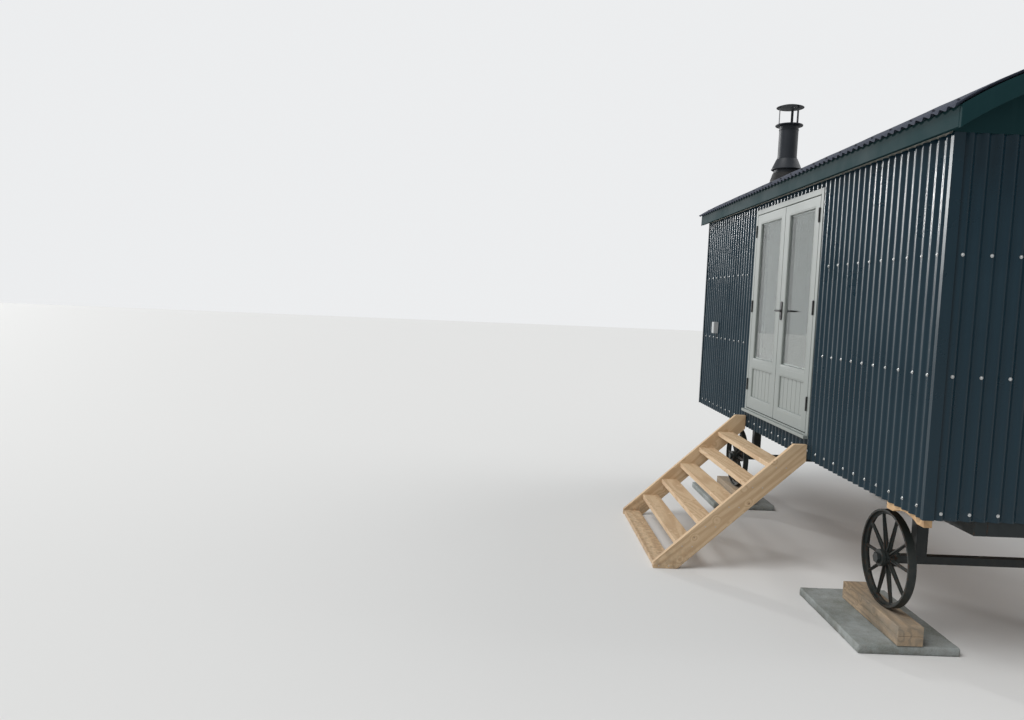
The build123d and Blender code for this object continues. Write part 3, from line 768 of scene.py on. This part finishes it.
washer = turned("washer", (
    (washer_radius, 0), (washer_radius, washer_thickness), (screw_head_radius * 1.15, washer_thickness * 1.7),
), 12)
head = turned("head", (
    (screw_head_radius, washer_thickness), (screw_head_radius, washer_thickness + screw_head_height * 0.8),
    (screw_head_radius * 0.82, washer_thickness + screw_head_height),
), 6)
screw = join("screw", washer, head)
smooth(screw, 30)

crests = [front_crest - i * screw_step for i in range(int(2 * front_high.x / screw_step) + 1)]
crests = [x for x in crests if abs(x) < front_high.x - corner_gap]
gable_crests = [gable_crest + i * screw_step for i in range(gable_screw_count)]
front_places = [
    (x, front_low.y, z) for z in front_rows for x in crests
    if not (door_low.x - corner_gap < x < door_high.x + corner_gap
            and door_low.z < z < door_high.z + corner_gap)
]
for side, places, angle, axis in (
    ("front", front_places, 90, "X"),
    ("back", [(x, back_high.y, z) for z in front_rows for x in crests], -90, "X"),
    ("right", [(right_high.x, y, z) for z in gable_rows for y in gable_crests], 90, "Y"),
    ("left", [(left_low.x, y, z) for z in gable_rows for y in gable_crests], -90, "Y"),
):
    turn = Matrix.Rotation(radians(angle), 4, axis)
    screws = copies(f"{side}_screws", screw, [Matrix.Translation(place) @ turn for place in places])
    finish_piece(screws, galvanised, "cladding")


# Corner flashings and gable panels
# Folded steel angles cover the ends of the sheets at each corner. Above the gable sheets a
# flat painted board fills the wall up to the curve of the roof.
flashing_easing = 0.0006
gable_easing = 0.002
dark_paint = painted("dark_paint", (0.004, 0.027, 0.031, 1), (0.009, 0.036, 0.040, 1), (0.10, 0.09, 0.07, 1),
                     rough=0.58, wear=0.2, grain=along_x, depth=0.0003, shine=0.12)
eased_copy("corner_flashings", "folded_flashings", cladding_paint, "cladding", flashing_easing, 1)
for side in ("right", "left"):
    eased_copy(f"{side}_gable_panel", f"{side}_gable_board", dark_paint, "dark_paint", gable_easing)


# Roof boards, fascias and bargeboards
# Curved ribs carry boards that bend over the hut and are its ceiling. A board covers the
# rib ends along each eave, and curved boards close the gable ends, all painted dark outside.
roof_radius = 2.238
roof_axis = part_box("roof_sheet")[1].z - roof_radius
deck_radius = 2.2162
ceiling_radius = 2.129
ceiling_margin = 0.06
ceiling_bend = 0.03
deck_bend = 0.005
inside_x = front_high.x - ceiling_margin
inside_y = (back_high.y - front_low.y) / 2 - ceiling_margin
fascia_easing = 0.003
ceiling_paint = painted("ceiling_paint", (0.62, 0.60, 0.55, 1), (0.55, 0.53, 0.48, 1), bare_pine, rough=0.5,
                        wear=0.1, grain=along_x, depth=0.0005)


def from_axis(point):
    """The arm from the axis that the roof is curved about to a point."""
    return Vector((0, point.y - hut_axis, point.z - roof_axis))


def under_ceiling(point):
    """Whether a point lies on the ceiling's underside, inside the hut."""
    return abs(point.x) < inside_x and from_axis(point).length < ceiling_radius + ceiling_bend


def round_outside(board):
    """Brings the outside of a curved board, flat from bend to bend, onto a true arc under the sheets."""
    low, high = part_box("roof_boards")
    with shaping(board):
        for place in even_places(low.y, high.y, lining_board_width):
            cut_across((0, place, 0), (0, 1, 0))
        for vertex in bmesh.from_edit_mesh(board.data).verts:
            arm = from_axis(vertex.co)
            if arm.length > deck_radius - deck_bend:
                vertex.co += arm.normalized() * (deck_radius - arm.length)


ceiling = solid_copy("roof_boards", "painted_roof_boards")
with shaping(ceiling):
    for way in (1, -1):
        cut_across((way * inside_x, 0, 0), (1, 0, 0))
        cut_across((0, hut_axis + way * inside_y, 0), (0, 1, 0))
cut_grooves(ceiling, 1, even_places(hut_axis - inside_y, hut_axis + inside_y, lining_board_width),
            under_ceiling, (0, 0, groove_depth))
round_outside(ceiling)
ease_edges(ceiling, board_easing, angle=40)
finish_piece(ceiling, dark_paint, "dark_paint", "roof_boards")
ceiling.data.materials.append(ceiling_paint)
for face in ceiling.data.polygons:
    indoors = abs(face.center.x) < inside_x and abs(face.center.y - hut_axis) < inside_y
    face.material_index = int(indoors and face.normal.z < 0)

for side in ("front", "back"):
    eased_copy(f"{side}_fascia", f"painted_{side}_fascia", dark_paint, "dark_paint", fascia_easing, angle=40)
for side in ("right", "left"):
    board = solid_copy(f"{side}_bargeboard", f"painted_{side}_bargeboard")
    round_outside(board)
    ease_edges(board, fascia_easing, angle=40)
    finish_piece(board, dark_paint, "dark_paint", f"{side}_bargeboard")


# Corrugated roof
# Long sheets rolled to the roof's curve run from eave to eave, with their waves across the
# hut. They lap like the cladding and are screwed through their crests in rows.
roof_steps = 36
roof_low, roof_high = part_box("roof_sheet")
roof_swing = asin((roof_high.y - hut_axis) / roof_radius)
roof_rows = (0.060, 0.480, 0.900)
roof_screw_step = 3 * sheet_pitch
roof_screw_end = 0.05
roof_screw_count = int((roof_high.x - roof_screw_end - roof_low.x) / roof_screw_step)
roof_paint = painted("roof_paint", (0.034, 0.042, 0.066, 1), (0.060, 0.070, 0.098, 1), (0.12, 0.12, 0.12, 1),
                     wear=0.1, depth=0.0003, splash=0.1, coarse=420.0)
screw_cover = painted("screw_cover", (0.014, 0.016, 0.026, 1), (0.03, 0.032, 0.042, 1), (0.25, 0.26, 0.27, 1),
                      rough=0.45, depth=0.0002, splash=0.1)

roof_sheets = waved_sheet("roof_sheets")
with shaping(roof_sheets):
    select_points(roof_sheets, lambda point: point.y > 0.5)
    bpy.ops.mesh.delete(type="VERT")
about_axis = Matrix.Translation((0, hut_axis, roof_axis))
roof_sheets.data.transform(about_axis @ Matrix.Rotation(roof_swing, 4, "X")
                           @ Matrix.Translation((0, 0, roof_radius - sheet_lap)))
with shaping(roof_sheets):
    bpy.ops.mesh.spin(steps=roof_steps, angle=2 * roof_swing, center=(0, hut_axis, roof_axis), axis=(1, 0, 0))
lay_sheets(roof_sheets, roof_low.x, roof_high.x, roof_low.x)
if sum(face.normal.z for face in roof_sheets.data.polygons) < 0:
    with shaping(roof_sheets):
        bpy.ops.mesh.flip_normals()
flashing_pad = copy_piece(roof_sheets, "flashing_pad")
give_thickness(roof_sheets, sheet_steel)
finish_piece(roof_sheets, roof_paint, "roof_sheet", "roof_sheet")

roof_screws = copies("roof_screws", screw, [
    about_axis @ Matrix.Rotation(way * (roof_swing - arc / roof_radius), 4, "X")
    @ Matrix.Translation((roof_low.x + i * roof_screw_step, 0, roof_radius))
    for arc in roof_rows for way in (1, -1) for i in range(1, roof_screw_count + 1)
])
finish_piece(roof_screws, screw_cover, "roof_sheet")


# Door frame
# A softwood frame in pale grey-green paint: two jambs, a head and a sill with a nose that
# throws rain clear of the sheets. Stops inside it meet the leaves.
joinery_easing = 0.0025
door_paint, rail_paint = [
    painted(name, (0.195, 0.218, 0.205, 1), (0.235, 0.255, 0.24, 1), (0.30, 0.25, 0.18, 1), rough=0.4,
            grain=grain, depth=0.0003, splash=0.2)
    for name, grain in (("door_paint", upright), ("rail_paint", along_x))
]
for node, paint in (("door_jamb_left", door_paint), ("door_jamb_right", door_paint),
                    ("door_head", rail_paint), ("door_sill", rail_paint)):
    eased_copy(node, f"painted_{node}", paint, "door_paint", joinery_easing)


# Door leaves
# Each leaf is stiles and rails with one tall double-glazed light over a panel of grooved
# boards. Mitred beads hold the glass and the panel on both sides, and the rails slope below them.
bead_width = 0.013
glass_bead_depth = 0.0155
panel_bead_depth = 0.0110
glass_sill_drop = 0.024
panel_sill_drop = 0.009
bead_inset = 0.001
pane_thickness = 0.004
pane_easing = 0.0006
spacer_width = 0.009
spacer_gap = 0.0002

glass, tree, surface = new_material("door_glass")
film = noise(tree, object_place(tree), 5.0, 6.0)
feed(tree, surface, {"Base Color": (0.93, 0.97, 0.95, 1), "Transmission Weight": 1.0, "IOR": 1.5,
                     "Roughness": between(tree, film, 0.4, 0.8, 0.0, 0.05)})

spacer_metal, tree, surface = new_material("spacer_metal")
holes = between(tree, cells(tree, object_place(tree), 320.0), 0.1, 0.25)
tone = blend_colour(tree, holes, (0.10, 0.10, 0.10, 1), (0.45, 0.46, 0.46, 1))
feed(tree, surface, {"Base Color": tone, "Metallic": 0.8, "Roughness": 0.4})


def frame_strip(name, low, high, front, width, depth, moulded=True, drop=0.0):
    """A mitred strip round the inside of an opening in the XZ plane, its front at y = front.

    Where a drop is given, the bottom length slopes down to its front as a sill."""
    choose()
    bpy.ops.mesh.primitive_plane_add(size=1, location=(0, 0, 0), rotation=(radians(90), 0, 0))
    strip = start_piece(name)
    size = Matrix.Diagonal((high.x - low.x, 1, high.z - low.z, 1))
    strip.data.transform(Matrix.Translation(((low.x + high.x) / 2, front, (low.z + high.z) / 2)) @ size)
    with shaping(strip):
        bpy.ops.mesh.inset(thickness=width)
        bpy.ops.mesh.delete(type="FACE")
        bpy.ops.mesh.select_all(action="SELECT")
        bpy.ops.mesh.extrude_region_move(TRANSFORM_OT_translate={"value": (0, depth, 0)})
        bpy.ops.mesh.select_all(action="SELECT")
        bpy.ops.mesh.normals_make_consistent(inside=False)
        if moulded:
            select_points(strip, lambda point: abs(point.y - front) < on_plane
                          and low.x + width / 2 < point.x < high.x - width / 2
                          and low.z + width / 2 < point.z < high.z - width / 2)
            bpy.ops.mesh.bevel(offset=width * 0.7, segments=4)
        if drop:
            select_points(strip, lambda point: abs(point.y - front) < on_plane
                          and point.z < low.z + width + on_plane)
            bpy.ops.transform.translate(value=(0, 0, -drop))
    return strip


def slope_rail(leaf, low, high, front, drop):
    """Slopes the front of the rail under one opening of a leaf, down from the face of what fills it."""
    with shaping(leaf):
        cut_across((0, low.y, 0), (0, 1, 0))
        select_points(leaf, lambda point: abs(point.y - front) < on_plane and abs(point.z - low.z) < on_plane
                      and low.x - 0.001 < point.x < high.x + 0.001)
        bpy.ops.transform.translate(value=(0, 0, -drop))


for side in ("left", "right"):
    body = f"{side}_door"
    leaf_low, leaf_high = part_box(f"{side}_door_leaf")
    panel_low, panel_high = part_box(f"{side}_door_panel")
    glass_low, glass_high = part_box(f"{side}_door_glass")
    leaf = solid_copy(f"{side}_door_leaf", f"{side}_stiles_and_rails")
    slope_rail(leaf, glass_low, glass_high, leaf_low.y, glass_sill_drop)
    slope_rail(leaf, panel_low, panel_high, leaf_low.y, panel_sill_drop)
    ease_edges(leaf, joinery_easing)
    finish_piece(leaf, door_paint, "door_paint", f"{side}_door_leaf", body=body)
    eased_copy(f"{side}_door_panel", f"{side}_grooved_boards", door_paint, "door_paint", board_easing, 1,
               body=body)

    beads = []
    for low, high, depth, drop in ((glass_low, glass_high, glass_bead_depth, glass_sill_drop),
                                   (panel_low, panel_high, panel_bead_depth, panel_sill_drop)):
        back = leaf_high.y - bead_inset
        beads.append(frame_strip("bead", low, high, low.y - depth, bead_width, depth, drop=drop))
        beads.append(frame_strip("bead", low, high, back, bead_width, high.y - back))
    beads = join(f"{side}_beads", *beads)
    smooth(beads)
    finish_piece(beads, rail_paint, "door_paint", body=body)

    panes = []
    for y in (glass_low.y, glass_high.y - pane_thickness):
        pane = block("pane", (glass_low.x, y, glass_low.z), (glass_high.x, y + pane_thickness, glass_high.z))
        ease_edges(pane, pane_easing, 1)
        panes.append(pane)
    panes = join(f"{side}_panes", *panes)
    finish_piece(panes, glass, "door_glass", f"{side}_door_glass", body=body)
    spacer_depth = glass_high.y - glass_low.y - 2 * (pane_thickness + spacer_gap)
    spacer = frame_strip(f"{side}_spacer", glass_low, glass_high, glass_low.y + pane_thickness + spacer_gap,
                         bead_width + spacer_width, spacer_depth, moulded=False)
    ease_edges(spacer, board_easing, 1)
    finish_piece(spacer, spacer_metal, "black_metal", body=body)


# Hinges
# Three black steel butt hinges to a leaf: the plates lie in the gap between leaf and jamb,
# and three turns of the knuckle stand proud of the face round a pin with rounded ends.
knuckle_radius = 0.0065
knuckle_sides = 20
knuckle_gap = 0.0005
hinge_easing = 0.0003
hinge_levels = (1.267, 1.975, 2.648)
hinge_height = 0.100
pin_end = ((0.7, 0.001), (0.65, 0.003), (0.3, 0.0045))
black_metal = painted("black_metal", (0.010, 0.010, 0.011, 1), (0.02, 0.02, 0.021, 1), (0.09, 0.085, 0.08, 1),
                      rough=0.38, wear=0.35, splash=0.1, coarse=500.0)


def knuckle(axis, low_z, high_z, cap=0):
    """A round knuckle between two heights; cap puts the pin's rounded end on its top (1) or its foot (-1)."""
    length = high_z - low_z
    rings = [(0.9, 0.0), (1.0, 0.0006), (1.0, length - 0.0006), (0.9, length)]
    if cap > 0:
        rings += [(size, length + rise) for size, rise in pin_end]
    if cap < 0:
        rings = [(size, -rise) for size, rise in reversed(pin_end)] + rings
    rings = [(size * knuckle_radius, rise) for size, rise in rings]
    return turned("knuckle", rings, knuckle_sides, (*axis, low_z))


def finish_hinges(node, name, body, knuckles):
    """A node's hinge plates, eased and joined to their round knuckles."""
    plates = solid_copy(node, "plates")
    ease_edges(plates, hinge_easing, 1)
    hinge = join(name, plates, *knuckles)
    smooth(hinge)
    finish_piece(hinge, black_metal, "black_metal", node, body=body)


joints = {joint["name"]: joint for joint in frame["joints"]}
fixed = []
for side in ("left", "right"):
    axis = joints[f"{side}_door_hinge"]["pos_m"][:2]
    turning = []
    for level in hinge_levels:
        low_joint = level - hinge_height / 6
        high_joint = level + hinge_height / 6
        turning.append(knuckle(axis, low_joint + knuckle_gap, high_joint - knuckle_gap))
        fixed.append(knuckle(axis, level - hinge_height / 2, low_joint, -1))
        fixed.append(knuckle(axis, high_joint, level + hinge_height / 2, 1))
    finish_hinges(f"{side}_door_hinges", f"{side}_leaf_hinges", f"{side}_door", turning)
finish_hinges("hinges_on_frame", "frame_hinges", "hut", fixed)


# Lever handle
# A black lever on a long plate with round ends, on the meeting stile of the right leaf. The
# neck turns in the plate, and the lever sweeps away from the meeting edge and tapers.
plate_low, plate_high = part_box("lever_plate")
lever_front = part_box("lever_handle")[0].y
lever_x, _, lever_z = joints["lever_turn"]["pos_m"]
lock_drop = 0.045
lock_rings = ((0.009, 0), (0.009, 0.0015), (0.0075, 0.0025), (0.0035, 0.0025), (0.0032, 0.001))
neck_radius = 0.0078
neck_end = plate_low.y - lever_front
neck_rings = (
    (neck_radius * 1.5, 0.0005), (neck_radius * 1.5, 0.005), (neck_radius * 1.1, 0.008), (neck_radius, 0.012),
    (neck_radius, neck_end - 0.004), (neck_radius * 0.8, neck_end - 0.001),
)
plate_round = 0.46
plate_easing = 0.002
arm_half = 0.007
arm_flat = 0.86
arm_setback = 0.0068
arm_easing = 0.0015
arm_stations = ((0.012, 0.0, 1.0), (0.030, 0.0008, 0.98), (0.055, 0.0012, 0.92), (0.080, 0.0008, 0.86),
                (0.100, -0.0004, 0.84), (0.111, -0.0014, 0.70), (0.1145, -0.002, 0.4))
out_of_door = Matrix.Rotation(radians(90), 4, "X")

lever_plate = block("plate", plate_low, plate_high)
with shaping(lever_plate):
    select_parts(lever_plate, "EDGE", lambda edge: abs(edge.verts[0].co.y - edge.verts[1].co.y) > 0.001)
    bpy.ops.mesh.bevel(offset=(plate_high.x - plate_low.x) * plate_round, segments=8)
ease_edges(lever_plate, plate_easing, 3)
lock_ring = turned("lock_ring", lock_rings, 24)
lock_ring.data.transform(Matrix.Translation((lever_x, plate_low.y, lever_z - lock_drop)) @ out_of_door)
lever_plate = join("round_ended_plate", lever_plate, lock_ring)
smooth(lever_plate)
finish_piece(lever_plate, black_metal, "black_metal", "lever_plate", body="right_door")

neck = turned("neck", neck_rings, 28)
neck.data.transform(Matrix.Translation((lever_x, plate_low.y, lever_z)) @ out_of_door)
choose()
bpy.ops.mesh.primitive_cylinder_add(vertices=20, radius=neck_radius, depth=2 * arm_half, end_fill_type="NGON")
arm = start_piece("arm")
reach, rise, width = arm_half, 0.0, 1.0
with shaping(arm):
    select_points(arm, lambda point: point.z > 0)
    for station, lift, scale in arm_stations:
        bpy.ops.mesh.extrude_region_move(TRANSFORM_OT_translate={"value": (lift - rise, 0, station - reach)})
        bpy.ops.transform.resize(value=(scale / width, scale / width, 1), center_override=(lift, 0, station))
        reach, rise, width = station, lift, scale
arm.data.transform(Matrix.Translation((lever_x, lever_front + arm_setback, lever_z))
                   @ Matrix.Rotation(radians(90), 4, "Y") @ Matrix.Diagonal((1.0, arm_flat, 1, 1)))
ease_edges(arm, arm_easing, 2, 40)
lever = join("swept_lever", neck, arm)
smooth(lever, 50)
finish_piece(lever, black_metal, "black_metal", "lever_handle", body="door_lever")


# Flue
# A twin-walled steel chimney in heat-proof black. A rubbery boot seals it to the roof, a storm
# collar sheds rain off the wide lower tube, and a flat cap stands over the mouth on straps.
boot_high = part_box("flue_boot")[1]
skirt_low, skirt_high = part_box("flue_skirt")
pipe_low, pipe_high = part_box("flue_pipe")
cowl_low, cowl_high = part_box("flue_cowl")
flue_x = (pipe_low.x + pipe_high.x) / 2
flue_y = (pipe_low.y + pipe_high.y) / 2
flue_radius = 0.091
flue_bore = 0.066
flue_sides = 64
pad_half = 0.215
pad_thickness = 0.0035
boot_radius = 0.124
boot_slope = 0.041 / 0.130
boot_ribs = (0.093, 0.072, 0.060, 0.048, 0.036, 0.024, 0.012)
base_radius = 0.117
skirt_radius = (skirt_high.x - skirt_low.x) / 2
skirt_foot = skirt_low.z + 0.034
flange_radius = (pipe_high.x - pipe_low.x) / 2
mouth = pipe_high.z
cap_radius = (cowl_high.x - cowl_low.x) / 2
cap_foot = cowl_high.z - 0.030
strap_count = 3
strap_turn = radians(28)
strap_half = 0.0125
flue_paint = painted("flue_paint", (0.014, 0.018, 0.024, 1), (0.032, 0.037, 0.045, 1), (0.10, 0.07, 0.05, 1),
                     rough=0.45, depth=0.0005, splash=0.1, coarse=200.0, shine=0.35)


def chalky(name, clean, chalked, patch_scale, low_rough, high_rough):
    """Moulded rubber or plastic that has gone a little chalky in patches."""
    material, tree, surface = new_material(name)
    patches = place_group(tree, weathering, Patch_Scale=patch_scale).outputs["Patches"]
    feed(tree, surface, {"Base Color": blend_colour(tree, patches, clean, chalked),
                         "Roughness": between(tree, patches, 0.0, 1.0, low_rough, high_rough)})
    return material


def flue_piece(name, rings, material, node, closed=False):
    """A round piece about the flue's middle, finished."""
    piece = turned(name, rings, flue_sides, (flue_x, flue_y, 0), closed)
    smooth(piece)
    finish_piece(piece, material, "flue", node)


rubber = chalky("black_rubber", (0.018, 0.018, 0.019, 1), (0.042, 0.042, 0.041, 1), 14.0, 0.55, 0.75)
boot_rings = []
for rise in boot_ribs:
    radius = boot_radius + rise * boot_slope
    foot = boot_high.z - rise
    boot_rings += [(radius, foot), (radius + 0.002, foot + 0.003), (radius + 0.002, foot + 0.007),
                   (radius - 0.002, foot + 0.009)]
boot_rings += [(boot_radius, boot_high.z - 0.001), (boot_radius - 0.003, boot_high.z)]
flue_piece("roof_boot", boot_rings, rubber, "flue_boot")

flue_piece("storm_collar", (
    (base_radius, skirt_low.z), (base_radius + 0.006, skirt_low.z + 0.002),
    (base_radius + 0.006, skirt_low.z + 0.012), (base_radius, skirt_low.z + 0.014),
    (base_radius, skirt_foot - 0.002), (skirt_radius - 0.004, skirt_foot - 0.002),
    (skirt_radius, skirt_foot + 0.001), (skirt_radius, skirt_foot + 0.006),
    (skirt_radius - 0.004, skirt_foot + 0.010),
    (flue_radius + 0.010, skirt_high.z - 0.016), (flue_radius + 0.003, skirt_high.z - 0.012),
    (flue_radius + 0.003, skirt_high.z), (flue_radius - 0.002, skirt_high.z),
), flue_paint, "flue_skirt")

with shaping(flashing_pad):
    for way in ((1, 0, 0), (-1, 0, 0), (0, 1, 0), (0, -1, 0)):
        cut_across(Vector((flue_x, flue_y, 0)) + Vector(way) * pad_half, way, drop_beyond=True)
give_thickness(flashing_pad, pad_thickness, 1)
finish_piece(flashing_pad, rubber, "flue")

flue_piece("twin_wall_pipe", (
    (flue_radius, pipe_low.z), (flue_radius, mouth - 0.056), (flue_radius + 0.003, mouth - 0.054),
    (flue_radius + 0.003, mouth - 0.048), (flue_radius, mouth - 0.046), (flue_radius, mouth - 0.012),
    (flange_radius - 0.002, mouth - 0.0115), (flange_radius, mouth - 0.009), (flange_radius, mouth - 0.003),
    (flange_radius - 0.003, mouth), (flue_bore, mouth - 0.001), (flue_bore, pipe_low.z),
    (flue_radius, pipe_low.z),
), flue_paint, "flue_pipe", closed=True)

cap = turned("cap", (
    (cap_radius - 0.002, cap_foot), (cap_radius, cap_foot + 0.001), (cap_radius, cap_foot + 0.004),
    (cap_radius - 0.003, cap_foot + 0.006), (cap_radius * 0.7, cap_foot + 0.018),
    (cap_radius * 0.35, cap_foot + 0.027), (cap_radius * 0.06, cowl_high.z),
), flue_sides, (flue_x, flue_y, 0))
strap = block("strap", (flue_radius + 0.008, -strap_half, mouth - 0.002),
              (flue_radius + 0.011, strap_half, cap_foot + 0.003))
ease_edges(strap, board_easing, 1)
straps = copies("straps", strap, [
    Matrix.Translation((flue_x, flue_y, 0)) @ Matrix.Rotation(strap_turn + 2 * pi * i / strap_count, 4, "Z")
    for i in range(strap_count)
])
bpy.data.objects.remove(strap)
cowl = join("cap_on_straps", cap, straps)
smooth(cowl)
finish_piece(cowl, flue_paint, "flue", "flue_cowl")


# Stair
# Six planed pine treads housed between two sloping stringers, left bare. The stringers hook
# under the door sill and stand on the ground, and screws through them hold each tread.
stair_slope = radians(43)
stair_easing = 0.003
tread_count = 6
tread_rise = 0.154
tread_going = tread_rise / tan(stair_slope)
tread_thickness = 0.038
screw_insets = (0.035, 0.110)
tread_screw_rings = ((0.0045, -0.004), (0.0045, 0.0004), (0.0036, 0.0009), (0.0016, 0.0009),
                     (0.0012, -0.0006))
pine = ((0.62, 0.46, 0.29, 1), (0.42, 0.265, 0.14, 1), (0.16, 0.075, 0.035, 1))
tread_pine = bare_wood("tread_pine", *pine, (0.7, 9.0, 9.0))
stringer_pine = bare_wood("stringer_pine", *pine, (9.0, 0.7, 9.0), turn=(-stair_slope, 0, 0))

tread_screw = turned("tread_screw", tread_screw_rings, 16)
smooth(tread_screw, 30)
eased_copy("stair_treads", "pine_treads", tread_pine, "stair_pine", stair_easing, 3)
tread_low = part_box("stair_treads")[0]
for side, way in (("left", -1), ("right", 1)):
    eased_copy(f"stringer_{side}", f"{side}_stringer", stringer_pine, "stair_pine", stair_easing, 3)
    low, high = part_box(f"stringer_{side}")
    face = low.x if way < 0 else high.x
    turn = Matrix.Rotation(way * radians(90), 4, "Y")
    heads = copies(f"{side}_tread_screws", tread_screw, [
        Matrix.Translation((face, tread_low.y + i * tread_going + inset,
                            tread_low.z + tread_thickness / 2 + i * tread_rise)) @ turn
        for i in range(tread_count) for inset in screw_insets
    ])
    finish_piece(heads, galvanised, "stair_pine")
bpy.data.objects.remove(tread_screw)


# Bare bearer and wall box
# A short sawn bearer, hollowed below, shows bare under the near corner of the cladding. A
# small plain plastic box for a cable's end sits on the sheets near the far corner.
bearer_easing = 0.003
box_easing = 0.0015
bearer_wood = bare_wood("bearer_wood", (0.54, 0.35, 0.18, 1), (0.33, 0.19, 0.09, 1), (0.14, 0.06, 0.03, 1),
                        along_x, depth=0.0008)
eased_copy("corner_bearer", "bare_bearer", bearer_wood, "bare_timber", bearer_easing, angle=40)
box_plastic = chalky("box_plastic", (0.36, 0.38, 0.39, 1), (0.45, 0.46, 0.46, 1), 12.0, 0.3, 0.5)
eased_copy("wall_box", "cable_box", box_plastic, "grey_box", box_easing, 3)


bpy.data.objects.remove(screw)
